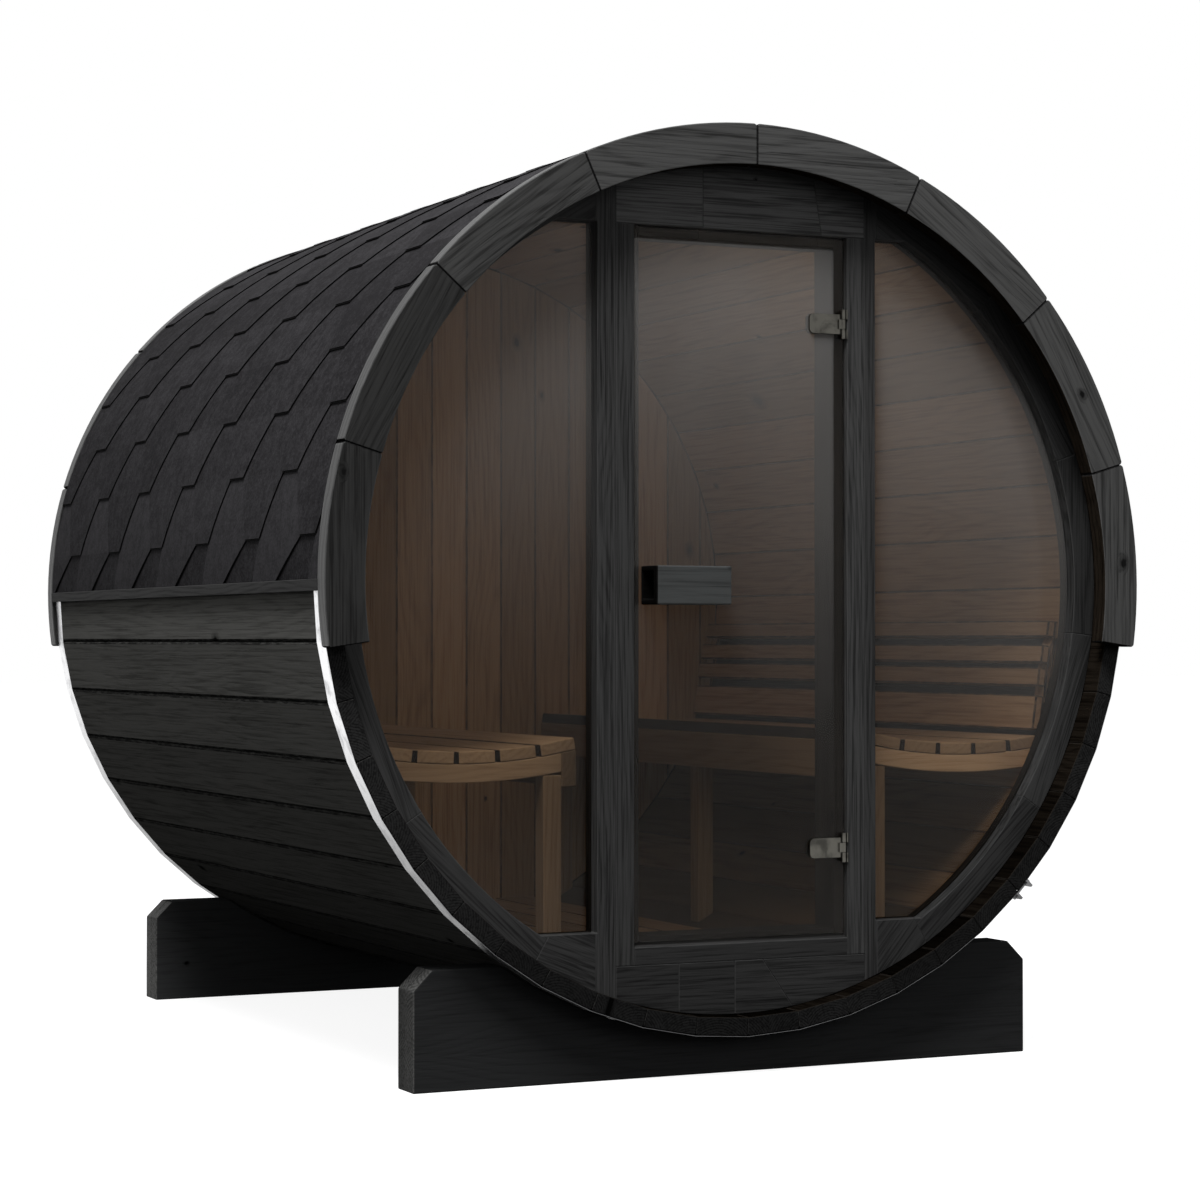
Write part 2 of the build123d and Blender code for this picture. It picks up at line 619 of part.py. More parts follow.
def floor_joists():
    """Bearers across the bottom of the barrel, round below and flat on top."""
    top = FLOOR_TOP - FLOOR_BOARD_THICKNESS - FIT
    joists = []
    for y in row_places(JOIST_COUNT, DOOR_FRAME_BACK_Y + FIT, BACK_INNER_Y - FIT, JOIST_THICKNESS):
        whole = block(-FLOOR_HALF_WIDTH, FLOOR_HALF_WIDTH, y, y + JOIST_THICKNESS, 0, top)
        joists.append(bore_cut(whole))
    return Compound(joists)


def slat_places(depth):
    """The two long edges of every slat of a bench, from the wall to the aisle."""
    aisle = BENCH_WALL_X - depth
    outer = BENCH_WALL_X - BENCH_WALL_SLAT
    pitch = BENCH_SLAT_WIDTH + BENCH_SLAT_GAP
    places = [(outer, BENCH_WALL_X + BENCH_WALL_SLAT)]
    outer -= BENCH_SLAT_GAP
    while outer - pitch - aisle > BENCH_SLAT_MINIMUM:
        places.append((outer - BENCH_SLAT_WIDTH, outer))
        outer -= pitch
    places.append((aisle, outer))
    return places


def slat_rest(inner, outer, hollow_x):
    """How far a slat turns in the hollow, and how far its underside lies from the hollow's centre."""
    angle = asin(((inner + outer) / 2 - hollow_x) / HOLLOW_RADIUS)
    reach = HOLLOW_RADIUS * cos((outer - inner) / 2 / HOLLOW_RADIUS) - FIT
    return angle, reach


def bench_seat(depth, hollow_from_wall):
    """The slats of a bench on the right, each laid flat in a shallow hollow, the last cut to the wall."""
    hollow_x = BENCH_WALL_X - hollow_from_wall
    slats = []
    for inner, outer in slat_places(depth):
        angle, reach = slat_rest(inner, outer, hollow_x)
        board = Pos(0, BENCH_SLAT_THICKNESS / 2 - reach) * Rectangle(outer - inner, BENCH_SLAT_THICKNESS)
        face = Pos(hollow_x, 0) * Rot(0, 0, degrees(angle)) * board
        slats.append(bore_cut(along(face, BENCH_FRONT_Y, BENCH_BACK_Y, z=HOLLOW_CENTRE_Z)))
    return Compound(slats)


def fascia(aisle, hollow_x, first_slat):
    """The board under the front edge of a seat, its top sawn to the first slat's slope."""
    angle, reach = slat_rest(*first_slat, hollow_x)
    back = aisle + FASCIA_THICKNESS
    foot = FLOOR_TOP + FASCIA_FOOT_RISE
    tops = [
        HOLLOW_CENTRE_Z - (reach - (x - hollow_x) * sin(angle)) / cos(angle) - FIT
        for x in (aisle, back)
    ]
    outline = Polyline((aisle, foot), (back, foot), (back, tops[1]), (aisle, tops[0]), close=True)
    return along(make_face(outline), BENCH_FRONT_Y, BENCH_BACK_Y, z=0)


def bearer(inner_x, hollow_x, y):
    """A cross piece under the slats, sawn to the seat's hollow above and below."""
    ring = Circle(HOLLOW_RADIUS + BEARER_HEIGHT) - Circle(HOLLOW_RADIUS)
    width = INNER_RADIUS - inner_x
    window = Pos((inner_x + INNER_RADIUS) / 2 - hollow_x, -HOLLOW_RADIUS) * Rectangle(width, HOLLOW_RADIUS)
    face = Pos(hollow_x, 0) * (ring & window)
    return bore_cut(along(face, y, y + BEARER_THICKNESS, z=HOLLOW_CENTRE_Z))


def bench_frame(depth, hollow_from_wall):
    """Fascia, bearers and legs of a bench on the right."""
    aisle = BENCH_WALL_X - depth
    hollow_x = BENCH_WALL_X - hollow_from_wall
    pieces = [fascia(aisle, hollow_x, slat_places(depth)[-1])]
    leg_x = aisle + FASCIA_THICKNESS + FIT
    drop = sqrt((HOLLOW_RADIUS + BEARER_HEIGHT) ** 2 - (leg_x + LEG_SIZE - hollow_x) ** 2)
    leg_top = HOLLOW_CENTRE_Z - drop - FIT
    for y in row_places(BENCH_ROWS, BENCH_FRONT_Y, BENCH_BACK_Y, LEG_SIZE):
        pieces.append(bearer(leg_x, hollow_x, y))
        pieces.append(leg(leg_x, y, leg_top))
    return Compound(pieces)


def leg(x, y, top):
    """A bench leg that stands on the floor boards, or on the staves beside them."""
    post = block(x, x + LEG_SIZE, y, y + LEG_SIZE, CENTRE_Z - WALL_RADIUS, top)
    post -= block(0, FLOOR_HALF_WIDTH + FIT, y - FIT, y + LEG_SIZE + FIT, 0, FLOOR_TOP + FIT)
    return bore_cut(post)


def backrest(lowest):
    """Level boards against the right wall, on upright battens that fill the round behind them."""
    pieces = []
    backs = []
    for rise, width, from_wall in (lowest, *BACKREST_BOARDS):
        middle = FLOOR_TOP + rise + width / 2 - CENTRE_Z
        face_x = sqrt(INNER_RADIUS ** 2 - middle ** 2) - from_wall
        place = Pos(face_x, middle) * Rot(0, 0, -BACKREST_TILT)
        board = place * Pos(BACKREST_THICKNESS / 2, 0) * Rectangle(BACKREST_THICKNESS, width)
        pieces.append(bore_cut(along(board, BENCH_FRONT_Y, BENCH_BACK_Y)))
        for end in (-width / 2, width / 2):
            corner = place * Pos(BACKREST_THICKNESS + FIT, end)
            backs.append((corner.position.X, corner.position.Y))
    outline = Polyline((INNER_RADIUS, backs[0][1]), *backs, (INNER_RADIUS, backs[-1][1]), close=True)
    foot = FLOOR_TOP + BACKREST_BATTEN_FOOT - CENTRE_Z
    top = backs[-1][1]
    shelf = Pos(INNER_RADIUS / 2, (foot + top) / 2) * Rectangle(INNER_RADIUS, top - foot)
    profile = make_face(outline) & shelf & Circle(WALL_RADIUS)
    for y in row_places(BENCH_ROWS, BENCH_FRONT_Y, BENCH_BACK_Y, BACKREST_BATTEN_WIDTH):
        pieces.append(along(profile, y, y + BACKREST_BATTEN_WIDTH))
    return Compound(pieces)


def build_all():
    """Every piece of the sauna by its name."""
    pieces = {}
    trim_front_y = STAVE_FRONT_Y - TRIM_THICKNESS - FIT
    trim_back_y = STAVE_BACK_Y + FIT
    for number, group in enumerate(stave_groups(), start=1):
        pieces[f"staves_{number:02d}"] = group
    pieces["trim_front_right"] = trim_half(True, trim_front_y)
    pieces["trim_front_left"] = trim_half(False, trim_front_y)
    pieces["trim_back_right"] = trim_half(True, trim_back_y)
    pieces["trim_back_left"] = trim_half(False, trim_back_y)
    pieces["band_front"] = band(STAVE_FRONT_Y + BAND_EDGE)
    pieces["band_back"] = band(STAVE_BACK_Y - BAND_EDGE - BAND_WIDTH)
    pieces["roof_right"] = shingle_courses(True)
    pieces["roof_left"] = shingle_courses(False)
    pieces["eave_strip_right"] = eave_strip(True)
    pieces["eave_strip_left"] = eave_strip(False)
    cradle_depth = CRADLE_PLANKS * CRADLE_PLANK + (CRADLE_PLANKS - 1) * FIT
    pieces["cradle_front"] = cradle(STAVE_FRONT_Y + CRADLE_INSET)
    pieces["cradle_back"] = cradle(STAVE_BACK_Y - CRADLE_INSET - cradle_depth)
    pieces["side_frame_right"] = side_frame(FRAME_RIGHT, POST_WIDTH_RIGHT)
    pieces["side_frame_left"] = mirrored(side_frame(-FRAME_LEFT, POST_WIDTH_LEFT))
    pieces["side_pane_right"] = side_pane(FRAME_RIGHT, POST_WIDTH_RIGHT)
    pieces["side_pane_left"] = mirrored(side_pane(-FRAME_LEFT, POST_WIDTH_LEFT))
    pieces["front_header"] = header()
    pieces["front_foot_panel"] = foot_panel()
    pieces["door_jamb_right"] = jamb(True)
    pieces["door_jamb_left"] = jamb(False)
    pieces["door_sill"] = sill()
    pieces["door_glass"] = door_glass()
    pieces["door_handle"] = handle()
    pieces["hinge_clamps"] = Compound([hinge_clamp(height) for height in HINGE_HEIGHTS])
    pieces["hinge_leaves"] = Compound([hinge_leaf(height) for height in HINGE_HEIGHTS])
    pieces["back_wall"] = back_wall()
    pieces["floor_boards"] = floor_boards()
    pieces["floor_joists"] = floor_joists()
    pieces["bench_seat_right"] = bench_seat(BENCH_DEPTH_RIGHT, HOLLOW_FROM_WALL_RIGHT)
    pieces["bench_seat_left"] = mirrored(bench_seat(BENCH_DEPTH_LEFT, HOLLOW_FROM_WALL_LEFT))
    pieces["bench_frame_right"] = bench_frame(BENCH_DEPTH_RIGHT, HOLLOW_FROM_WALL_RIGHT)
    pieces["bench_frame_left"] = mirrored(bench_frame(BENCH_DEPTH_LEFT, HOLLOW_FROM_WALL_LEFT))
    pieces["backrest_right"] = backrest(BACKREST_LOWEST_RIGHT)
    pieces["backrest_left"] = mirrored(backrest(BACKREST_LOWEST_LEFT))
    return pieces


def main():
    """Build the sauna and write each piece to its file."""
    os.makedirs("parts", exist_ok=True)
    for name, shape in build_all().items():
        write_piece(shape, name)


main()
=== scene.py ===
"""Barrel sauna: the looks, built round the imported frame.

The timber is cut from the frame's own solids into single boards, which get rounded edges and a grain of
their own. The roof is laid tab by tab. Lengths are metres, in the frame's axes: X to the right, Y along the
barrel from the front wall to the back wall, Z up.
"""

import logging
import math
import random
from collections.abc import Callable, Iterable, Sequence
from dataclasses import dataclass, field, replace
from enum import Enum

import bmesh
import bpy
from mathutils import Euler, Matrix, Vector


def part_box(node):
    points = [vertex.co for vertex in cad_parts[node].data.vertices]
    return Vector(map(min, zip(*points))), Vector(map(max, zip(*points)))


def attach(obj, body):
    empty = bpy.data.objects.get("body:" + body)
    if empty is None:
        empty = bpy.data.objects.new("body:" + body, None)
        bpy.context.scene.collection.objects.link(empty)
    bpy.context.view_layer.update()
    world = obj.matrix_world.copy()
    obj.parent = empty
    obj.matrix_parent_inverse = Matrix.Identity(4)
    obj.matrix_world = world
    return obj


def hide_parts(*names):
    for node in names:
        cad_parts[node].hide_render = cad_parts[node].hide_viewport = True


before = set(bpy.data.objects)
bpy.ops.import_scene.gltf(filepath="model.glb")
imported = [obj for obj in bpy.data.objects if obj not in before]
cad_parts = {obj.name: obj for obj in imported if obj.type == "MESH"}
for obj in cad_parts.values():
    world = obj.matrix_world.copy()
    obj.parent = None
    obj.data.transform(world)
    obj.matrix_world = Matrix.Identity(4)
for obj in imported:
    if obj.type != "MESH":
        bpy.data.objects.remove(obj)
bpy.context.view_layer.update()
LOG = logging.getLogger("sauna")

SAUNA = "sauna"
DOOR = "door"

# How far off a saw cut a point may lie and still count as on it
TOUCHING = 1e-6

Scale = tuple[float, float, float]


class Side(Enum):
    """The two sides of the barrel, seen from the front, as the sign of X."""

    LEFT = -1
    RIGHT = 1


class EdgeAndLight(Enum):
    """How a face is dressed, as the number that its shader reads; EDGE stands for wear and cut edges and
    paints light and shade.
    """

    PLAIN = 0.0
    EDGE = 1.0


# Shader building


class Value:
    """A shader socket that Python's operators work on."""

    def __init__(self, graph: "Graph", socket: bpy.types.NodeSocket) -> None:
        """Wrap a socket.

        Args:
            graph: The material's graph, which new nodes are added to.
            socket: An output socket of a node in it.
        """
        self.graph = graph
        self.socket = socket

    def maths(self, operation: str, *others: "Value | float") -> "Value":
        """Add a Math node with this value first.

        Args:
            operation: The Math node's operation.
            others: The other operands.

        Returns:
            The node's result.
        """
        operands = dict(enumerate((self, *others)))
        return self.graph.node("ShaderNodeMath", {"operation": operation}, operands)

    def __add__(self, other: "Value | float") -> "Value":
        """This plus other."""
        return self.maths("ADD", other)

    def __radd__(self, other: float) -> "Value":
        """A number plus this."""
        return self.maths("ADD", other)

    def __sub__(self, other: "Value | float") -> "Value":
        """This minus other."""
        return self.maths("SUBTRACT", other)

    def __rsub__(self, other: float) -> "Value":
        """A number minus this."""
        return self.graph.node("ShaderNodeMath", {"operation": "SUBTRACT"}, {0: other, 1: self})

    def __mul__(self, other: "Value | float") -> "Value":
        """This times other."""
        return self.maths("MULTIPLY", other)

    def __rmul__(self, other: float) -> "Value":
        """A number times this."""
        return self.maths("MULTIPLY", other)

    def __truediv__(self, other: "Value | float") -> "Value":
        """This divided by other."""
        return self.maths("DIVIDE", other)

    def __pow__(self, other: "Value | float") -> "Value":
        """This to the power of other."""
        return self.maths("POWER", other)

    def sine(self) -> "Value":
        """The sine of this."""
        return self.maths("SINE")

    def absolute(self) -> "Value":
        """This without its sign."""
        return self.maths("ABSOLUTE")

    def band(self, low: float, high: float) -> "Value":
        """Rise smoothly from 0 at low to 1 at high.

        Args:
            low: Where the rise starts.
            high: Where it ends. Below low, the value falls instead.

        Returns:
            The smoothed value.
        """
        flip = low > high
        first, last = sorted((low, high))
        ends = (1.0, 0.0) if flip else (0.0, 1.0)
        return self.graph.node(
            "ShaderNodeMapRange",
            {"interpolation_type": "SMOOTHSTEP"},
            {"Value": self, "From Min": first, "From Max": last, "To Min": ends[0], "To Max": ends[1]},
        )


@dataclass(frozen=True)
class Tint:
    """A linear colour."""

    red: float
    green: float
    blue: float

    @classmethod
    def grey(cls, level: float) -> "Tint":
        """A colour without a hue."""
        return cls(level, level, level)

    def rgba(self) -> tuple[float, float, float, float]:
        """The colour as a socket takes it."""
        return (self.red, self.green, self.blue, 1.0)

    def times(self, share: float) -> "Tint":
        """A darker or lighter one."""
        return Tint(self.red * share, self.green * share, self.blue * share)


class Graph:
    """The nodes of one material, or of the world."""

    def __init__(self, owner: bpy.types.Material | bpy.types.World) -> None:
        """Start with no nodes.

        Args:
            owner: The material or world.
        """
        owner.use_nodes = True
        self.owner = owner
        self.tree = owner.node_tree
        self.tree.nodes.clear()

    @classmethod
    def named(cls, name: str) -> "Graph":
        """The graph of a new material."""
        return cls(bpy.data.materials.new(name))

    def node(
        self,
        kind: str,
        settings: dict[str, object] | None = None,
        inputs: dict[int | str, object] | None = None,
        output: int | str = 0,
    ) -> Value:
        """Add a node.

        Args:
            kind: The node's type.
            settings: Its properties, set before its sockets. A list of stops sets a ramp.
            inputs: Values or links of its sockets, by name or number.
            output: The socket to hand back.

        Returns:
            One of the node's outputs.
        """
        made = self.tree.nodes.new(kind)
        for key, setting in (settings or {}).items():
            if key == "stops":
                self._set_stops(made.color_ramp, setting)
            else:
                setattr(made, key, setting)
        for key, value in (inputs or {}).items():
            socket = made.inputs[key]
            if isinstance(value, Value):
                self.tree.links.new(value.socket, socket)
            elif isinstance(value, Tint):
                socket.default_value = value.rgba()
            else:
                socket.default_value = value
        return Value(self, made.outputs[output])

    @staticmethod
    def _set_stops(ramp: bpy.types.ColorRamp, stops: Sequence[tuple[float, Tint]]) -> None:
        """Give a ramp its stops.

        Args:
            ramp: The ramp.
            stops: Places from 0 to 1 and their colours.
        """
        while len(ramp.elements) < len(stops):
            ramp.elements.new(1.0)
        for element, (place, tint) in zip(ramp.elements, stops):
            element.position = place
            element.color = tint.rgba()

    def attribute(self, name: str, output: str = "Fac") -> Value:
        """A value stored in the mesh."""
        return self.node("ShaderNodeAttribute", {"attribute_name": name}, output=output)

    def place(self) -> Value:
        """The point on the object, in metres."""
        return self.node("ShaderNodeTexCoord", output="Object")

    def parts(self, vector: Value) -> tuple[Value, Value, Value]:
        """Split a vector.

        Args:
            vector: The vector.

        Returns:
            Its three numbers.
        """
        split = self.node("ShaderNodeSeparateXYZ", inputs={0: vector})
        sockets = split.socket.node.outputs
        return Value(self, sockets[0]), Value(self, sockets[1]), Value(self, sockets[2])

    def vector(self, x: Value | float, y: Value | float, z: Value | float) -> Value:
        """Join three numbers into a vector."""
        return self.node("ShaderNodeCombineXYZ", inputs={0: x, 1: y, 2: z})

    def stretch(self, vector: Value, scale: tuple[float, float, float]) -> Value:
        """Scale a vector along each axis."""
        return self.node("ShaderNodeVectorMath", {"operation": "MULTIPLY"}, {0: vector, 1: scale})

    def noise(
        self, vector: Value, scale: float, detail: float = 3.0, rough: float = 0.55, bend: float = 0.0,
    ) -> Value:
        """Add a noise.

        Args:
            vector: Where it is read.
            scale: How fine it is, per metre.
            detail: Its number of octaves.
            rough: How strong the finer octaves are.
            bend: Its distortion.

        Returns:
            The noise, mostly between 0.3 and 0.7.
        """
        return self.node(
            "ShaderNodeTexNoise", {"noise_dimensions": "3D"},
            {"Vector": vector, "Scale": scale, "Detail": detail, "Roughness": rough, "Distortion": bend},
        )

    def blend(
        self, share: Value | float, first: Value | Tint, second: Value | Tint, how: str = "MIX",
    ) -> Value:
        """Mix two colours.

        Args:
            share: How much of the second.
            first: A colour.
            second: A colour.
            how: The blend type.

        Returns:
            The mixed colour.
        """
        settings = {"data_type": "RGBA", "blend_type": how}
        return self.node("ShaderNodeMix", settings, {0: share, 6: first, 7: second}, output=2)

    def bump(self, height: Value, depth: float, under: Value | None = None) -> Value:
        """Turn a height into a normal.

        Args:
            height: The height, from 0 to 1.
            depth: What 1 stands for, in metres.
            under: A normal that this one adds to.

        Returns:
            The normal.
        """
        inputs: dict[int | str, object] = {"Strength": 1.0, "Distance": depth, "Height": height}
        if under is not None:
            inputs["Normal"] = under
        return self.node("ShaderNodeBump", inputs=inputs)

    def surface(self, colour: Value, rough: Value, normal: Value, gloss: float, metal: float = 0.0) -> Value:
        """Add the surface shader.

        Args:
            colour: The base colour.
            rough: The roughness.
            normal: The normal.
            gloss: The specular level.
            metal: 1 for bare metal.

        Returns:
            The shader.
        """
        inputs = {"Base Color": colour, "Roughness": rough, "Normal": normal}
        constants = {"Specular IOR Level": gloss, "Metallic": metal}
        return self.node("ShaderNodeBsdfPrincipled", inputs={**inputs, **constants})

    def show(self, kind: str, shader: Value) -> None:
        """Link a shader to an output node of a kind."""
        self.tree.links.new(shader.socket, self.tree.nodes.new(kind).inputs["Surface"])

    def finish(self, shader: Value) -> bpy.types.Material:
        """Show a shader and hand the material back."""
        self.show("ShaderNodeOutputMaterial", shader)
        return self.owner


# Finishes


@dataclass(frozen=True)
class Timber:
    """Sawn softwood, with figure, fibres and knots that follow each board's own grain.

    A scale is how fine a noise is per metre: along the grain, across it and through the board.
    """

    name: str
    early: Tint
    late: Tint
    knot: Tint
    edge: Tint
    ring_width: float = 0.014
    ring_share: float = 0.4
    fibre_share: float = 0.5
    board_spread: float = 0.22
    blotch_share: float = 0.25
    knots_per_metre: float = 2.2
    knot_size: float = 0.012
    edge_share: float = 0.5
    roughness: float = 0.72
    gloss: float = 0.05
    relief: float = 0.0006
    crack_share: float = 0.0
    fibre_scale: Scale = (3.4, 190.0, 190.0)
    streak_scale: Scale = (1.2, 46.0, 46.0)
    pore_scale: Scale = (24.0, 620.0, 620.0)
    blotch_scale: Scale = (1.7, 6.5, 6.5)
    edge_ragged_scale: Scale = (30.0, 160.0, 160.0)
    crack_scale: Scale = (2.2, 75.0, 75.0)
    crack_place_scale: Scale = (3.0, 12.0, 12.0)
    crack_width: float = 0.006
    pith_spacing: float = 0.16
    darkest_board: float = 0.1

    def material(self) -> bpy.types.Material:
        """Build the shader.

        Returns:
            The material.
        """
        graph = Graph.named(self.name)
        grain = graph.attribute("grain", "Vector")
        along, across, through = graph.parts(grain)
        knot, knot_core = self._knots(graph, along, across)
        rings = self._rings(graph, along, across, through, knot)
        fibres = graph.noise(graph.stretch(grain, self.fibre_scale), 1.0, 4.0, 0.62, 0.5)
        streaks = graph.noise(graph.stretch(grain, self.streak_scale), 1.0, 4.0, 0.6, 0.6)
        pores = graph.noise(graph.stretch(grain, self.pore_scale), 1.0, 2.0, 0.5)
        blotch = graph.noise(graph.stretch(grain, self.blotch_scale), 1.0, 4.0, 0.62, 0.4)
        tone = graph.attribute("tone")
        dark = rings * self.ring_share + fibres.band(0.57, 0.38) * self.fibre_share
        dark = dark + (0.5 - streaks) * (1.6 * self.fibre_share) + (blotch - 0.5) * (2.0 * self.blotch_share)
        dark = dark + (pores - 0.5) * (self.fibre_share * 0.6)
        colour = graph.blend(dark.band(-0.05, 0.85), self.early, self.late)
        shade = (1.0 + (tone - 0.5) * (2.0 * self.board_spread)).maths("MAXIMUM", self.darkest_board)
        colour = graph.blend(1.0, colour, graph.vector(shade, shade, shade), "MULTIPLY")
        colour = graph.blend(knot * 0.6, colour, self.knot)
        colour = graph.blend(knot_core, colour, self.knot.times(0.35))
        # The edge colour on the rounded faces stands for wear and also paints light and shade: lighter edges
        # are painted highlights, near-black ones painted shade in gaps.
        edge_and_light = graph.attribute("edge_and_light")
        ragged = graph.noise(graph.stretch(grain, self.edge_ragged_scale), 1.0, 3.0)
        edge_wear_and_light = edge_and_light * (ragged.band(0.3, 0.62) * 0.5 + 0.5) * self.edge_share
        colour = graph.blend(edge_wear_and_light, colour, self.edge)
        cracks = self._cracks(graph, grain)
        colour = graph.blend(cracks, colour, self.late.times(0.25))
        rough = (fibres - 0.5) * 0.3 + self.roughness + rings * 0.06 - knot * 0.12
        height = fibres * 0.5 + pores * 0.3 + (1.0 - rings) * 0.3 - knot_core * 0.5 - cracks * 1.6
        normal = graph.bump(height, self.relief)
        return graph.finish(graph.surface(colour, rough, normal, self.gloss))

    def _knots(self, graph: Graph, along: Value, across: Value) -> tuple[Value, Value]:
        """Scatter knots.

        Args:
            graph: The material's graph.
            along: The place along the grain.
            across: The place across it.

        Returns:
            The knots' soft surrounds and their cores, from 0 to 1.
        """
        wander = graph.noise(graph.vector(along, across, 0.0), 70.0, 3.0)
        inputs = {
            "Vector": graph.vector(along * 0.62, across, 0.0),
            "Scale": self.knots_per_metre,
            "Randomness": 1.0,
        }
        cells = graph.node("ShaderNodeTexVoronoi", {"feature": "F1", "voronoi_dimensions": "2D"}, inputs)
        draw, _, _ = graph.parts(Value(graph, cells.socket.node.outputs["Color"]))
        size = draw * draw * 1.1 + 0.25
        gap = (cells / self.knots_per_metre + (wander - 0.5) * (self.knot_size * 0.8)) / size
        surround = gap.band(self.knot_size * 2.2, self.knot_size * 0.7)
        return surround, gap.band(self.knot_size, self.knot_size * 0.5)

    def _rings(self, graph: Graph, along: Value, across: Value, through: Value, knot: Value) -> Value:
        """Draw the growth rings that a flat-sawn board shows.

        Args:
            graph: The material's graph.
            along: The place along the grain.
            across: The place across it.
            through: The place through the board.
            knot: The knots' surrounds, which the rings flow round.

        Returns:
            The dark part of the rings, from 0 to 1.
        """
        drift = graph.noise(graph.vector(along * 0.7, 3.0, 0.0), 1.0, 2.0)
        depth = graph.noise(graph.vector(along * 0.5, 9.0, 0.0), 1.0, 2.0)
        waver = graph.noise(graph.vector(along * 1.8, across * 7.0, through * 7.0), 1.0, 4.0, 0.65)
        side = across.maths("PINGPONG", self.pith_spacing) - self.pith_spacing / 2 + (drift - 0.5) * 0.3
        down = through + depth * 0.2 - 0.04
        reach = (side * side + down * down) ** 0.5
        turns = reach + (waver - 0.5) * (self.ring_width * 2.6) + knot * (self.ring_width * 1.3)
        wave = (turns * (2 * math.pi / self.ring_width)).sine() * 0.5 + 0.5
        return wave ** 2.4

    def _cracks(self, graph: Graph, grain: Value) -> Value | float:
        """Draw short drying cracks along the grain.

        Args:
            graph: The material's graph.
            grain: The board's own place.

        Returns:
            The cracks, from 0 to 1.
        """
        if self.crack_share == 0.0:
            return 0.0
        lines = graph.noise(graph.stretch(grain, self.crack_scale), 1.0, 2.0, 0.5, 0.6)
        where = graph.noise(graph.stretch(grain, self.crack_place_scale), 1.0, 2.0)
        line = (lines - 0.5).absolute().band(self.crack_width, 0.0)
        return line * where.band(0.62 - self.crack_share * 0.1, 0.7) * self.crack_share


@dataclass(frozen=True)
class Felt:
    """Shingle felt with mineral granules, black where it is cut and on the painted shadow strips under the
    tabs.
    """

    name: str
    body: Tint
    pale: Tint
    cut: Tint
    grain: float = 170.0
    lump_share: float = 0.22
    patch_scale: float = 5.0
    sheet_spread: float = 0.28
    relief: float = 0.0009
    gloss: float = 0.02

    def material(self) -> bpy.types.Material:
        """Build the shader.

        Returns:
            The material.
        """
        graph = Graph.named(self.name)
        place = graph.place()
        specks = graph.noise(place, self.grain, 2.0, 0.7)
        coarse = graph.noise(place, self.grain * self.lump_share, 3.0, 0.6)
        patches = graph.noise(place, self.patch_scale, 4.0, 0.6, 0.3)
        tone = graph.attribute("tone")
        light = specks.band(0.35, 0.75) * 0.55 + coarse.band(0.35, 0.65) * 0.35 + (patches - 0.5) * 0.5
        colour = graph.blend(light + (tone - 0.5) * self.sheet_spread, self.body, self.pale)
        # Black on cut edges and on the strips under the tabs, which are a painted shadow.
        bare = graph.attribute("edge_and_light")
        colour = graph.blend(bare, colour, self.cut)
        rough = 0.86 + (coarse - 0.5) * 0.15
        normal = graph.bump(specks * 0.6 + coarse * 0.6, self.relief)
        return graph.finish(graph.surface(colour, rough, normal, self.gloss))


@dataclass(frozen=True)
class Steel:
    """Rolled or satin steel, with brush lines, soft stains, a slightly uneven surface and, where set, painted
    shade towards the bottom.
    """

    name: str
    bright: Tint
    dull: Tint
    roughness: float = 0.3
    lines: Scale = (6.0, 1500.0, 6.0)
    stain_scale: float = 24.0
    wave_scale: float = 14.0
    line_depth: float = 0.00008
    wave_depth: float = 0.0008
    gloss: float = 0.5
    shade_top: float = -1.0
    shade_bottom: float = -2.0
    shade_share: float = 0.0

    def material(self) -> bpy.types.Material:
        """Build the shader.

        Returns:
            The material.
        """
        graph = Graph.named(self.name)
        place = graph.place()
        brushed = graph.noise(graph.stretch(place, self.lines), 1.0, 3.0, 0.6)
        stains = graph.noise(place, self.stain_scale, 4.0, 0.6, 0.3)
        colour = graph.blend(stains.band(0.42, 0.68) * 0.8 + brushed * 0.2, self.bright, self.dull)
        # Painted shade: the steel darkens towards the bottom.
        _, _, height = graph.parts(place)
        low_shade = (height + (stains - 0.5) * 0.3).band(self.shade_top, self.shade_bottom) * self.shade_share
        colour = graph.blend(low_shade, colour, self.dull.times(0.12))
        rough = self.roughness + (brushed - 0.5) * 0.3 + stains.band(0.45, 0.7) * 0.12
        waves = graph.noise(place, self.wave_scale, 2.0)
        normal = graph.bump(brushed, self.line_depth, graph.bump(waves, self.wave_depth))
        return graph.finish(graph.surface(colour, rough, normal, self.gloss, metal=1.0))


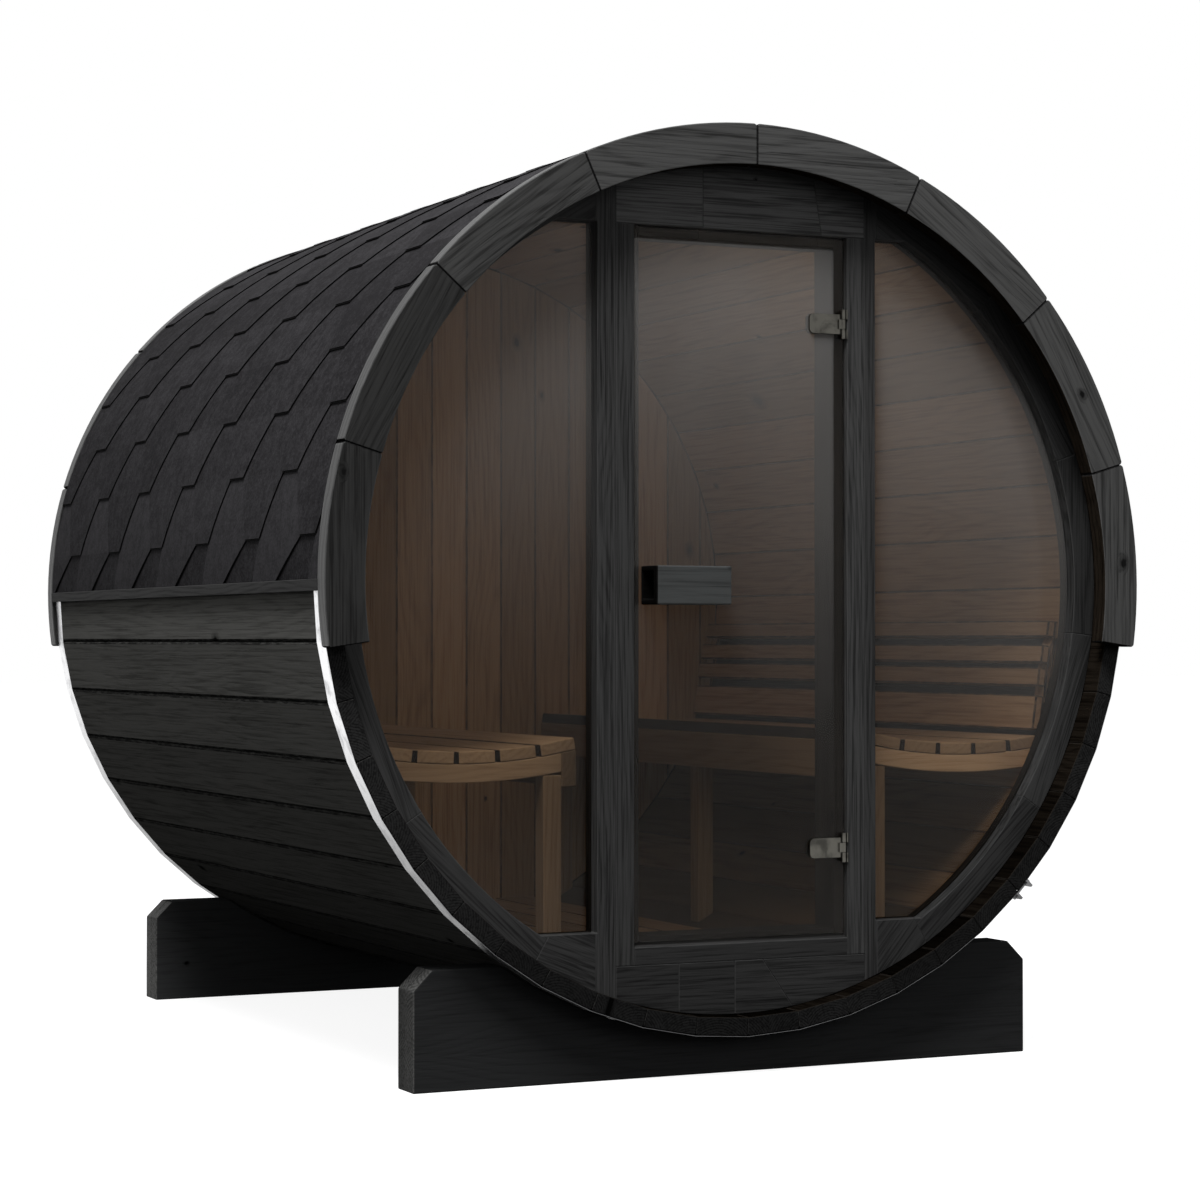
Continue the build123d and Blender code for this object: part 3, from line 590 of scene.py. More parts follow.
@dataclass(frozen=True)
class TintedPane:
    """Toughened glass, tinted through, with a thin grey film that is thicker higher up and to the right: a
    painted reflection.

    The film starts at the height foot and is full a reach above it. It stops where the leaf lies against its
    frame: right of film_stop_side and above film_stop_head.
    """

    name: str
    tint: Tint
    film: Tint
    film_share: float = 0.18
    foot: float = 0.39
    reach: float = 1.37
    growth: float = 2.25
    slant: float = 1.1
    lean: float = 0.1
    index: float = 1.18
    film_stop_side: float = 9.0
    film_stop_head: float = 9.0
    film_stop_reach: float = 0.004
    cloud_scale: float = 1.8
    film_streak_scale: Scale = (7.0, 7.0, 2.0)
    film_base: float = 0.97
    wave_scale: float = 3.0
    wave_depth: float = 0.0012
    mirror: Tint = Tint.grey(0.9)
    polish: float = 0.02
    shade: Tint = Tint(0.5, 0.49, 0.48)

    def material(self) -> bpy.types.Material:
        """Build the shader.

        Returns:
            The material.
        """
        graph = Graph.named(self.name)
        place = graph.place()
        side, _, height = graph.parts(place)
        # Painted reflection: a grey film, stronger higher up and to the right, with clouds and streaks in it.
        cloud = graph.noise(place, self.cloud_scale, 4.0, 0.6, 0.5)
        film_streaks = graph.noise(graph.stretch(place, self.film_streak_scale), 1.0, 4.0, 0.6, 0.6)
        climb = ((height - self.foot) / self.reach).maths("MAXIMUM", 0.0)
        rise = climb ** (self.growth - side * self.slant)
        uneven = (cloud - 0.5) * 0.5 + (film_streaks - 0.5) * 0.3 + self.film_base
        painted_reflection_share = rise * self.film_share * (side * self.lean + uneven)
        painted_reflection_share = painted_reflection_share * side.band(self.film_stop_side, self.film_stop_side - self.film_stop_reach)
        painted_reflection_share = painted_reflection_share * height.band(self.film_stop_head, self.film_stop_head - self.film_stop_reach)
        ripple = graph.bump(graph.noise(place, self.wave_scale, 1.0), self.wave_depth)
        clear = graph.node("ShaderNodeBsdfTransparent", inputs={"Color": self.tint})
        polish = {"Color": self.mirror, "Roughness": self.polish, "Normal": ripple}
        mirror = graph.node("ShaderNodeBsdfGlossy", inputs=polish)
        facing = graph.node("ShaderNodeFresnel", inputs={"IOR": self.index, "Normal": ripple})
        pane = graph.node("ShaderNodeMixShader", inputs={0: facing, 1: clear, 2: mirror})
        painted_reflection = graph.node("ShaderNodeBsdfDiffuse", inputs={"Color": self.film, "Roughness": 1.0})
        coated = graph.node("ShaderNodeMixShader", inputs={0: painted_reflection_share, 1: pane, 2: painted_reflection})
        through = graph.node("ShaderNodeBsdfTransparent", inputs={"Color": self.shade})
        path = graph.node("ShaderNodeLightPath", output="Is Shadow Ray")
        return graph.finish(graph.node("ShaderNodeMixShader", inputs={0: path, 1: coated, 2: through}))


class Finishes:
    """Every material of the sauna, made once."""

    SEAL = 0.024

    def __init__(self) -> None:
        """Build the materials."""
        soot = Tint.grey(0.005)
        # Its lighter edge colour stands for wear and paints highlights along the rounded edges.
        charcoal = Timber(
            "charcoal_stain", Tint(0.047, 0.047, 0.0465), Tint(0.011, 0.011, 0.0108), soot,
            Tint(0.085, 0.086, 0.086), ring_width=0.016, ring_share=0.22, fibre_share=0.4, crack_share=0.6,
            relief=0.0009,
        )
        self.trim = charcoal.material()
        self.trim_sheen = replace(
            charcoal, name="charcoal_edge", fibre_share=0.5, crack_share=0.0, relief=0.0006, roughness=0.45,
            gloss=0.32,
        ).material()
        self.stave = Timber(
            "stave_stain", Tint(0.138, 0.137, 0.130), Tint(0.053, 0.0525, 0.049), Tint.grey(0.012),
            Tint.grey(0.009), ring_width=0.02, ring_share=0.12, board_spread=0.12, crack_share=0.6,
            fibre_share=0.36, blotch_share=0.4, edge_share=0.9, gloss=0.0,
        ).material()
        self.end_grain = Timber(
            "end_stain", Tint.grey(0.020), Tint.grey(0.007), Tint.grey(0.004), soot, ring_width=0.006,
            ring_share=0.5, board_spread=0.1, gloss=0.0,
        ).material()
        # Its lighter edge colour stands for wear and paints highlights along the rounded edges.
        self.frame = Timber(
            "frame_stain", Tint.grey(0.035), Tint.grey(0.0105), soot, Tint.grey(0.046), ring_width=0.012,
            ring_share=0.2, board_spread=0.15,
        ).material()
        self.cradle = Timber(
            "cradle_stain", Tint(0.0195, 0.0200, 0.0205), Tint.grey(0.0085), soot, Tint.grey(0.020),
            ring_share=0.12, fibre_share=0.22, board_spread=0.15, gloss=0.0,
        ).material()
        # The ends and chamfers: end grain, and lighter than the faces, which is painted light.
        self.cradle_end = Timber(
            "cradle_end_grain_painted_light", Tint(0.088, 0.088, 0.086), Tint(0.036, 0.036, 0.035), Tint.grey(0.012),
            Tint(0.050, 0.050, 0.049), ring_width=0.008, ring_share=0.5, board_spread=0.15, gloss=0.0,
        ).material()
        # Painted shade: a much darker copy of the timber for the trims' inner sides and the staves'
        # overhangs.
        self.reveal = Timber(
            "reveal_painted_shade", Tint(0.0135, 0.0105, 0.0078), Tint(0.0048, 0.0036, 0.0027), Tint.grey(0.004),
            Tint(0.022, 0.019, 0.016), gloss=0.0,
        ).material()
        pine = Timber(
            "inner_pine", Tint(0.61, 0.41, 0.225), Tint(0.36, 0.205, 0.10), Tint(0.09, 0.045, 0.022),
            Tint(0.06, 0.035, 0.02), ring_width=0.017, ring_share=0.24, fibre_share=0.36, board_spread=0.2,
            knots_per_metre=2.1, knot_size=0.013, edge_share=0.95, roughness=0.6, relief=0.0003,
        )
        self.inner = pine.material()
        self.inner_wall = replace(pine, name="back_pine", board_spread=0.28).material()
        self.seat = Timber(
            "seat_aspen", Tint(0.60, 0.44, 0.285), Tint(0.38, 0.25, 0.145), Tint(0.16, 0.08, 0.04),
            Tint(0.54, 0.40, 0.25), ring_share=0.24, fibre_share=0.3, board_spread=0.12, knots_per_metre=1.2,
            knot_size=0.008, edge_share=0.3, roughness=0.55, relief=0.0003,
        ).material()
        # The slats' near-black rounded edges paint shade in the gaps between them.
        self.slat = Timber(
            "slat_pine", Tint(0.54, 0.38, 0.235), Tint(0.33, 0.205, 0.115), Tint(0.09, 0.045, 0.022),
            Tint(0.010, 0.007, 0.005), ring_width=0.017, ring_share=0.24, fibre_share=0.36, board_spread=0.15,
            edge_share=1.0, roughness=0.6, relief=0.0003,
        ).material()
        # Painted shade: a dark timber for the seat slats' sides and undersides and for the staves behind the
        # backrests.
        self.shadowed = Timber(
            "timber_in_painted_shade", Tint(0.035, 0.022, 0.013), Tint(0.015, 0.009, 0.005), Tint(0.010, 0.006, 0.004),
            Tint(0.04, 0.026, 0.016), gloss=0.0,
        ).material()
        self.handle = Timber(
            "handle_stain", Tint(0.038, 0.040, 0.040), Tint(0.020, 0.021, 0.021), Tint.grey(0.006),
            Tint(0.046, 0.048, 0.048), ring_width=0.01, ring_share=0.15, knots_per_metre=9.0, knot_size=0.006,
            roughness=0.6, relief=0.0003,
        ).material()
        # Near black for the grip's left end, and painted shade inside its pocket.
        self.hollow = Timber(
            "grip_black_end_and_pocket_shade", Tint(0.003, 0.0028, 0.0026), Tint(0.0015, 0.0014, 0.0013), Tint.grey(0.001),
            Tint.grey(0.004), gloss=0.0,
        ).material()
        self.felt = Felt(
            "shingle_granules", Tint(0.0105, 0.0101, 0.0109), Tint(0.035, 0.034, 0.0365), Tint.grey(0.0025),
        ).material()
        # Painted shade: the band darkens from 0.95 m down to 0.35 m.
        self.band = Steel(
            "band_rolled", Tint(0.92, 0.92, 0.93), Tint(0.50, 0.50, 0.51), 0.32,
            shade_top=0.95, shade_bottom=0.35, shade_share=0.9,
        ).material()
        self.hinge = Steel(
            "hinge_satin", Tint(0.10, 0.096, 0.084), Tint(0.035, 0.034, 0.03), 0.36, (900.0, 6.0, 6.0),
        ).material()
        # The panes' grey film is a painted reflection.
        bronze = TintedPane("bronze_pane", Tint(0.74, 0.70, 0.655), Tint(0.46, 0.455, 0.45))
        self.glass = bronze.material()
        leaf_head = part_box("door_glass")[1]
        self.door_glass = replace(
            bronze, name="bronze_door", film_stop_side=leaf_head.x - self.SEAL,
            film_stop_head=leaf_head.z - self.SEAL,
        ).material()


# Boards


@dataclass(frozen=True)
class Cut:
    """A plane that boards are sawn at, where their middles lie far enough from the barrel's middle plane."""

    point: Vector
    normal: Vector
    beyond: float = -1.0

    @classmethod
    def upright(cls, x: float, z: float = 0.0, lean: float = 0.0) -> "Cut":
        """A cut square to the front wall.

        Args:
            x: Where it crosses the height z.
            z: That height.
            lean: How many degrees its top leans to the right.

        Returns:
            The cut.
        """
        turn = math.radians(lean)
        return cls(Vector((x, 0, z)), Vector((math.cos(turn), 0, -math.sin(turn))))

    @classmethod
    def radial(cls, height: float, angle: float, beyond: float) -> "Cut":
        """A cut through the barrel's axis, at an angle in degrees above the horizontal."""
        turn = math.radians(angle)
        return cls(Vector((0, 0, height)), Vector((-math.sin(turn), 0, math.cos(turn))), beyond)


@dataclass
class BoardMaker:
    """Cuts a solid of the frame into boards and rounds their edges."""

    seed: int
    rounding: float = 0.0016
    steps: int = 2
    sharp: float = math.radians(28.0)
    flat: float = math.radians(0.4)
    spread: float = 40.0
    least_face: float = 1e-6
    rounds: int = 12
    straight: float = 0.96
    shade: float = 0.0
    draw: random.Random = field(init=False)

    def __post_init__(self) -> None:
        """Start the board's own random draws."""
        self.draw = random.Random(self.seed)

    def solids(self, node: str) -> list[bmesh.types.BMesh]:
        """The separate solids of a node, in order of place.

        Args:
            node: The node's name.

        Returns:
            One mesh for each solid.
        """
        whole = bmesh.new()
        whole.from_mesh(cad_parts[node].data)
        bmesh.ops.remove_doubles(whole, verts=whole.verts, dist=1e-5)
        whole.verts.index_update()
        whole.faces.index_update()
        met = [False] * len(whole.verts)
        parts = []
        for first in whole.verts:
            if met[first.index]:
                continue
            met[first.index] = True
            island = [first]
            for vertex in island:
                for edge in vertex.link_edges:
                    other = edge.other_vert(vertex)
                    if not met[other.index]:
                        met[other.index] = True
                        island.append(other)
            parts.append(self._copy(sorted(island, key=lambda vertex: vertex.index)))
        whole.free()
        for part in parts:
            self.tidy(part)
        parts.sort(key=lambda part: [round(x, 4) for x in self.middle(part)])
        LOG.info("%s: %d solids", node, len(parts))
        return parts

    @staticmethod
    def _copy(island: Iterable[bmesh.types.BMVert]) -> bmesh.types.BMesh:
        """Copy joined vertices and their faces to a mesh of their own.

        Args:
            island: The vertices.

        Returns:
            The new mesh.
        """
        part = bmesh.new()
        made = {old: part.verts.new(old.co) for old in island}
        faces = {face.index: face for old in made for face in old.link_faces}
        for _, face in sorted(faces.items()):
            corners = [made[vertex] for vertex in face.verts]
            if part.faces.get(corners) is None:
                part.faces.new(corners)
        part.normal_update()
        return part

    @staticmethod
    def middle(part: bmesh.types.BMesh) -> Vector:
        """The middle of a mesh's box.

        Args:
            part: The mesh.

        Returns:
            Its middle.
        """
        points = [vertex.co for vertex in part.verts]
        low = Vector(tuple(min(point[axis] for point in points) for axis in range(3)))
        high = Vector(tuple(max(point[axis] for point in points) for axis in range(3)))
        return (low + high) / 2

    @staticmethod
    def split(part: bmesh.types.BMesh, point: Vector, normal: Vector) -> list[bmesh.types.BMesh]:
        """Saw a board in two.

        Args:
            part: The board.
            point: A point of the cut.
            normal: The cut's normal.

        Returns:
            The pieces, one where the cut misses.
        """
        halves = []
        for keep_above in (True, False):
            half = part.copy()
            bmesh.ops.bisect_plane(
                half, geom=[*half.verts, *half.edges, *half.faces], dist=TOUCHING, plane_co=point,
                plane_no=normal, clear_inner=keep_above, clear_outer=not keep_above,
            )
            if half.verts:
                rim = [edge for edge in half.edges if edge.is_boundary]
                if rim:
                    bmesh.ops.holes_fill(half, edges=rim, sides=0)
                halves.append(half)
            else:
                half.free()
        part.free()
        return halves

    def saw(self, parts: Sequence[bmesh.types.BMesh], cuts: Sequence["Cut"]) -> list[bmesh.types.BMesh]:
        """Saw boards at every cut that meets them.

        Args:
            parts: The boards, which are used up.
            cuts: The cuts.

        Returns:
            The sawn boards.
        """
        sawn = list(parts)
        for cut in cuts:
            halves = []
            for part in sawn:
                met = abs(self.middle(part).x) > cut.beyond
                halves.extend(self.split(part, cut.point, cut.normal) if met else [part])
            sawn = halves
        return sawn

    @staticmethod
    def score(part: bmesh.types.BMesh, point: Vector, normal: Vector) -> None:
        """Divide a board's faces at a plane without cutting it.

        Args:
            part: The board.
            point: A point of the plane.
            normal: The plane's normal.
        """
        geometry = [*part.verts, *part.edges, *part.faces]
        bmesh.ops.bisect_plane(part, geom=geometry, dist=TOUCHING, plane_co=point, plane_no=normal)

    def tidy(self, part: bmesh.types.BMesh) -> None:
        """Join a board's flat triangles into whole faces."""
        bmesh.ops.dissolve_limit(
            part, angle_limit=self.flat, verts=part.verts, edges=part.edges, delimit={"NORMAL"},
        )
        bmesh.ops.recalc_face_normals(part, faces=part.faces)

    def grain_axes(self, part: bmesh.types.BMesh, run: Vector | None = None) -> Matrix:
        """A board's own axes: along the grain, across it and through it.

        Args:
            part: The board.
            run: The grain's direction, where it is known.

        Returns:
            The turn from the frame's axes to the board's.
        """
        weights = [(face.calc_center_median(), face.calc_area()) for face in part.faces]
        weights.extend(
            (corner.co.copy(), face.calc_area() / len(face.verts))
            for face in part.faces for corner in face.verts
        )
        total = sum(weight for _, weight in weights)
        centre = sum((point * weight for point, weight in weights), Vector()) / total
        arms = (point - centre for point, weight in weights if weight > self.least_face)
        along = max(arms, key=lambda arm: arm.length)
        for _ in range(self.rounds):
            pull = Vector((0, 0, 0))
            for point, weight in weights:
                pull += (point - centre) * ((point - centre).dot(along) * weight)
            along = pull.normalized()
        for axis in range(3):
            if abs(along[axis]) > self.straight:
                along = Vector(tuple(1.0 if place == axis else 0.0 for place in range(3)))
        along = run or along
        widest = max(part.faces, key=lambda face: face.calc_area() * (1 - abs(face.normal.dot(along))))
        through = (widest.normal - along * widest.normal.dot(along)).normalized()
        return Matrix((along, through.cross(along), through))

    def soften(self, part: bmesh.types.BMesh) -> None:
        """Round a board's sharp edges and mark the rounded faces.

        Args:
            part: The board.
        """
        edge_and_light = part.faces.layers.float.new("edge_and_light")
        edges = [
            edge for edge in part.edges
            if len(edge.link_faces) == 2 and edge.calc_face_angle(0.0) > self.sharp
        ]
        if edges:
            made = bmesh.ops.bevel(
                part, geom=edges, offset=self.rounding, offset_type="OFFSET", segments=self.steps,
                profile=0.5, affect="EDGES", clamp_overlap=False,
            )
            for face in made["faces"]:
                face[edge_and_light] = EdgeAndLight.EDGE.value

    def boards(
        self,
        name: str,
        parts: Sequence[bmesh.types.BMesh],
        finishes: Sequence[bpy.types.Material],
        choose: Callable[[Vector, Vector], int] | None = None,
        shade_of: Callable[[Vector], float] | None = None,
        run: Vector | None = None,
    ) -> bpy.types.Object:
        """Join softened boards into one piece with their grain.

        Args:
            name: The piece's name.
            parts: The boards, which are used up.
            finishes: The piece's materials.
            choose: Picks a material from a face's middle and normal.
            shade_of: Gives a board's extra tone from its middle.
            run: The grain's direction, where it isn't each board's longest.

        Returns:
            The piece.
        """
        points: list[Vector] = []
        faces: list[list[int]] = []
        slots: list[int] = []
        grains: list[float] = []
        tones: list[float] = []
        edge_and_light_marks: list[float] = []
        for part in parts:
            axes = self.grain_axes(part, run)
            centre = self.middle(part)
            shift = Vector(tuple(self.draw.uniform(-self.spread, self.spread) for _ in range(2)) + (0.0,))
            tone = self.draw.random() + self.shade + (shade_of(centre) if shade_of else 0.0)
            self.soften(part)
            edge_and_light = part.faces.layers.float["edge_and_light"]
            part.normal_update()
            start = len(points)
            part.verts.index_update()
            for vertex in part.verts:
                points.append(vertex.co.copy())
                grains.extend(axes @ (vertex.co - centre) + shift)
                tones.append(tone)
            for face in part.faces:
                faces.append([start + vertex.index for vertex in face.verts])
                edge_and_light_marks.append(face[edge_and_light])
                slots.append(choose(face.calc_center_median(), face.normal) if choose else 0)
            part.free()
        mesh = bpy.data.meshes.new(name)
        mesh.from_pydata(points, [], faces)
        mesh.attributes.new("grain", "FLOAT_VECTOR", "POINT").data.foreach_set("vector", grains)
        mesh.attributes.new("tone", "FLOAT", "POINT").data.foreach_set("value", tones)
        mesh.attributes.new("edge_and_light", "FLOAT", "FACE").data.foreach_set("value", edge_and_light_marks)
        for finish in finishes:
            mesh.materials.append(finish)
        mesh.polygons.foreach_set("material_index", slots)
        mesh.validate(clean_customdata=False)
        piece = bpy.data.objects.new(name, mesh)
        bpy.context.scene.collection.objects.link(piece)
        return piece


def put(piece: bpy.types.Object, body: str, slot: str, *nodes: str) -> bpy.types.Object:
    """Fix a piece to a body of the frame.

    Args:
        piece: The piece.
        body: The body that it moves with.
        slot: A material slot's name, which is not used.
        nodes: The nodes that it stands for.

    Returns:
        The piece.
    """
    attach(piece, body)
    if nodes:
        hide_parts(*nodes)
    LOG.info("%s: %d faces on %s", piece.name, len(piece.data.polygons), body)
    return piece


# The barrel


@dataclass
class Plan:
    """The sizes that the sub-assemblies share, read from the frame."""

    stave_front: float = field(init=False)
    stave_back: float = field(init=False)
    wall_front: float = field(init=False)
    wall_back: float = field(init=False)
    axis_height: float = field(init=False)
    stave_inner: float = field(init=False)
    roof_inner: float = field(init=False)

    def __post_init__(self) -> None:
        """Measure the frame."""
        low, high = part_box("staves_01")
        self.stave_front, self.stave_back = low.y, high.y
        self.axis_height = low.z
        self.wall_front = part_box("front_header")[0].y
        self.wall_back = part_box("back_wall")[0].y
        self.stave_inner = self.nearest("staves_01")
        self.roof_inner = self.nearest("roof_left")

    def nearest(self, node: str) -> float:
        """How near a node comes to the barrel's axis."""
        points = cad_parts[node].data.vertices
        return min(math.hypot(point.co.x, point.co.z - self.axis_height) for point in points)

    def outward(self, middle: Vector) -> Vector:
        """The direction from the barrel's axis to a point."""
        return Vector((middle.x, 0, middle.z - self.axis_height)).normalized()


@dataclass
class Barrel:
    """The staves, stained outside and plain inside the cabin."""

    plan: Plan
    finishes: Finishes
    groups: int = 12
    groove: float = 0.0026
    overlap: float = 0.02
    shading: float = -2.6
    shaded_from: float = 0.1
    shaded_most: float = 0.7
    end_facing: float = 0.8
    inner_facing: float = -0.3
    seed: int = 11

    def build(self) -> None:
        """Make every group of staves."""
        maker = BoardMaker(self.seed, rounding=self.groove)
        finishes = [
            self.finishes.stave, self.finishes.inner, self.finishes.reveal, self.finishes.end_grain,
            self.finishes.shadowed,
        ]
        rest_front, rest_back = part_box("backrest_right")
        seams = (self.plan.wall_front + self.overlap, self.plan.wall_back, rest_front.y, rest_back.y)
        for number in range(1, self.groups + 1):
            node = f"staves_{number:02d}"
            parts = maker.solids(node)
            for part in parts:
                for seam in seams:
                    maker.score(part, Vector((0, seam, 0)), Vector((0, 1, 0)))
            piece = maker.boards(f"stave_boards_{number:02d}", parts, finishes, self.choose, self.shade)
            put(piece, SAUNA, "stave_timber", node)

    def choose(self, middle: Vector, normal: Vector) -> int:
        """Pick the finish for a stave's face.

        Args:
            middle: The face's middle.
            normal: The face's normal.

        Returns:
            0 outside, 1 inside the cabin, 2 on the overhangs' inner faces, with painted shade, 3 on the sawn
            ends and 4 behind the backrests, painted shade where no light falls.
        """
        if abs(normal.y) > self.end_facing:
            return 3
        if normal.dot(self.plan.outward(middle)) > self.inner_facing:
            return 0
        low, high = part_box("backrest_right" if middle.x > 0 else "backrest_left")
        beside = abs(middle.x) > self.plan.stave_inner / 2
        if beside and low.y < middle.y < high.y and low.z < middle.z < high.z:
            return 4
        return 1 if self.plan.wall_front + self.overlap < middle.y < self.plan.wall_back else 2

    def shade(self, middle: Vector) -> float:
        """Painted shade: staves near the ground are darker, inside the cabin and out."""
        drop = (self.plan.axis_height - middle.z) / self.plan.stave_inner
        return self.shading * min(max(drop - self.shaded_from, 0.0), self.shaded_most)


@dataclass
class TrimRings:
    """The sawn arcs round the upper edge of both ends."""

    plan: Plan
    finishes: Finishes
    rounding: float = 0.0026
    shaded_from: float = -0.55
    shading: float = 3.8
    right_lightening: float = 1.0
    lightened_under: float = 0.25
    sawn_facing: float = 0.35
    inner_facing: float = -0.8
    outer_facing: float = 0.9
    seed: int = 23

    def build(self) -> None:
        """Make the boards of both rings."""
        maker = BoardMaker(self.seed, rounding=self.rounding)
        finishes = [
            self.finishes.trim, self.finishes.reveal, self.finishes.trim_sheen, self.finishes.end_grain,
        ]
        for end in ("front", "back"):
            for side in Side:
                name = f"trim_{end}_{side.name.lower()}"
                parts = maker.solids(name)
                piece = maker.boards(f"{name}_boards", parts, finishes, self.choose, self.shade)
                put(piece, SAUNA, "trim_timber", name)

    def choose(self, middle: Vector, normal: Vector) -> int:
        """Pick the finish for a trim board's face.

        Args:
            middle: The face's middle.
            normal: The face's normal.

        Returns:
            0 on the face, 1 on the ring's inner side, with painted shade, 2 on its outer side and 3 where it
            is sawn across.
        """
        outward = self.plan.outward(middle)
        if abs(normal.dot(outward.cross(Vector((0, 1, 0))))) > self.sawn_facing:
            return 3
        if normal.dot(outward) < self.inner_facing:
            return 1
        return 2 if normal.dot(outward) > self.outer_facing else 0

    def shade(self, middle: Vector) -> float:
        """The boards on the left are darker, and the lowest on the right are lighter."""
        low = max(self.plan.axis_height + self.lightened_under - middle.z, 0.0)
        return self.shading * min(middle.x - self.shaded_from, 0.0) + self.right_lightening * max(middle.x, 0.0) * low


@dataclass
class Shingles:
    """Felt shingles with hexagonal tabs, laid in courses up both slopes, and a cap over the ridge."""

    plan: Plan
    finishes: Finishes
    first_foot: float = 0.097
    exposure: float = 0.1475
    courses: int = 10
    pitch: float = 0.3655
    first_tab: float = -0.986
    foot_width: float = 0.096
    splay: float = 0.09
    sheet: float = 0.0026
    shadow: float = 0.0032
    lap: float = 0.012
    rows: int = 4
    cap_reach: float = 0.13
    cap_exposure: float = 0.2
    # Painted light: the courses near the eave and near the ridge are lighter than those between, and the cap
    # too.
    course_lightening: float = 0.085
    darkest_course: float = 3.3
    most_lightening: float = 1.9
    lightening_offset: float = 0.6
    looseness: float = 0.0004
    shadow_sink: float = 0.75
    underlay_sheet: float = 0.9
    underlay_tone: float = 0.3
    cap_lightening: float = 0.8
    cap_sheet: float = 0.95
    cap_rise: float = 0.25
    cap_widening: float = 0.002
    cap_steps: int = 6
    seed: int = 5
    draw: random.Random = field(init=False)

    def __post_init__(self) -> None:
        """Start the roof's own random draws."""
        self.draw = random.Random(self.seed)

    def build(self) -> None:
        """Lay both slopes and the ridge."""
        for side in Side:
            mesh = SheetMesh(self, side)
            mesh.underlay()
            for course in range(-1, self.courses):
                self.lay_course(mesh, course)
            name = side.name.lower()
            piece = mesh.piece(f"shingles_{name}", self.finishes.felt)
            put(piece, SAUNA, "shingle", f"roof_{name}")
        self.cap()

    def lay_course(self, mesh: "SheetMesh", course: int) -> None:
        """Lay the tabs of one course and the sheet that they hang from.

        Args:
            mesh: The slope's mesh.
            course: The course, counted up from the eave; -1 is the strip under the first.
        """
        foot = self.first_foot + course * self.exposure
        start = foot + self.exposure
        reach = min(start + self.exposure + self.lap, math.pi / 2 * self.plan.roof_inner) - start
        body = [start + reach * step / self.rows for step in range(self.rows + 1)]
        whole = [(self.plan.stave_front, self.plan.stave_back)] * len(body)
        # Painted light: lighter near the eave and near the ridge.
        lightening = min(self.course_lightening * (course - self.darkest_course) ** 2, self.most_lightening) - self.lightening_offset
        mesh.strip([max(arc, 0.0) for arc in body], whole, foot, self.draw.random() + lightening)
        middle = self.first_tab + (0.0 if course % 2 == 0 else -self.pitch / 2)
        while middle - self.pitch < self.plan.stave_back:
            self.lay_tab(mesh, foot, middle, lightening)
            middle += self.pitch

    def lay_tab(self, mesh: "SheetMesh", foot: float, middle: float, lightening: float) -> None:
        """Lay one tab and, under it, a black strip a little wider than the tab: a painted shadow along its
        edges.

        Args:
            mesh: The slope's mesh.
            foot: The tab's lower edge, as an arc from the eave.
            middle: The tab's middle along the barrel.
            lightening: How much painted light the course gets.
        """
        tone = self.draw.random() + lightening
        lift = self.draw.uniform(0.0, self.looseness)
        low = max(foot, 0.0)
        arcs = [low + (foot + self.exposure - low) * step / self.rows for step in range(self.rows + 1)]
        half_foot = self.foot_width / 2
        half_top = (self.pitch - self.foot_width) / 2
        # The second, wider sheet is sunk under the tab and black all over: a painted shadow.
        edge = (self.shadow, self.sheet * self.shadow_sink, EdgeAndLight.EDGE)
        for spread, sink, edge_and_light in ((0.0, 0.0, EdgeAndLight.PLAIN), edge):
            spans = []
            for arc in arcs:
                half = half_foot + (half_top - half_foot) * (arc - foot) / self.exposure + spread
                lean = self.splay * max(1.0 - arc / self.first_foot, 0.0)
                ends = (middle - half + lean, middle + half + lean)
                front, back = (min(max(end, self.plan.stave_front), self.plan.stave_back) for end in ends)
                spans.append((front, back))
            if spans[-1][1] - spans[-1][0] > 1e-4:
                lowered = [max(arcs[0] - spread, 0.0), *arcs[1:]]
                mesh.strip(lowered, spans, foot, tone, lift - sink, edge_and_light)

    def cap(self) -> None:
        """Lay the ridge's pieces from the back to the front, each over the last."""
        mesh = SheetMesh(self, Side.RIGHT)
        quarter = math.pi / 2 * self.plan.roof_inner
        count = math.ceil((self.plan.stave_back - self.plan.stave_front) / self.cap_exposure)
        for index in range(count):
            front = self.plan.stave_back - (index + 1) * self.cap_exposure
            back = front + self.cap_exposure
            front = max(front, self.plan.stave_front)
            # Painted light: the cap is as light as the top courses.
            tone = self.draw.random() + self.cap_lightening
            mesh.ridge_piece(quarter, self.cap_reach, front, back, tone, index % 2 == 0)
        put(mesh.piece("shingles_ridge", self.finishes.felt), SAUNA, "shingle")

    def top(self, foot: float, arc: float) -> float:
        """How far a course's upper face stands off the roof's underlay.

        Args:
            foot: The course's lower edge.
            arc: The place up the slope.

        Returns:
            The height, which falls by one sheet for each exposure.
        """
        return self.sheet * max(3.0 - (arc - foot) / self.exposure, 1.0)


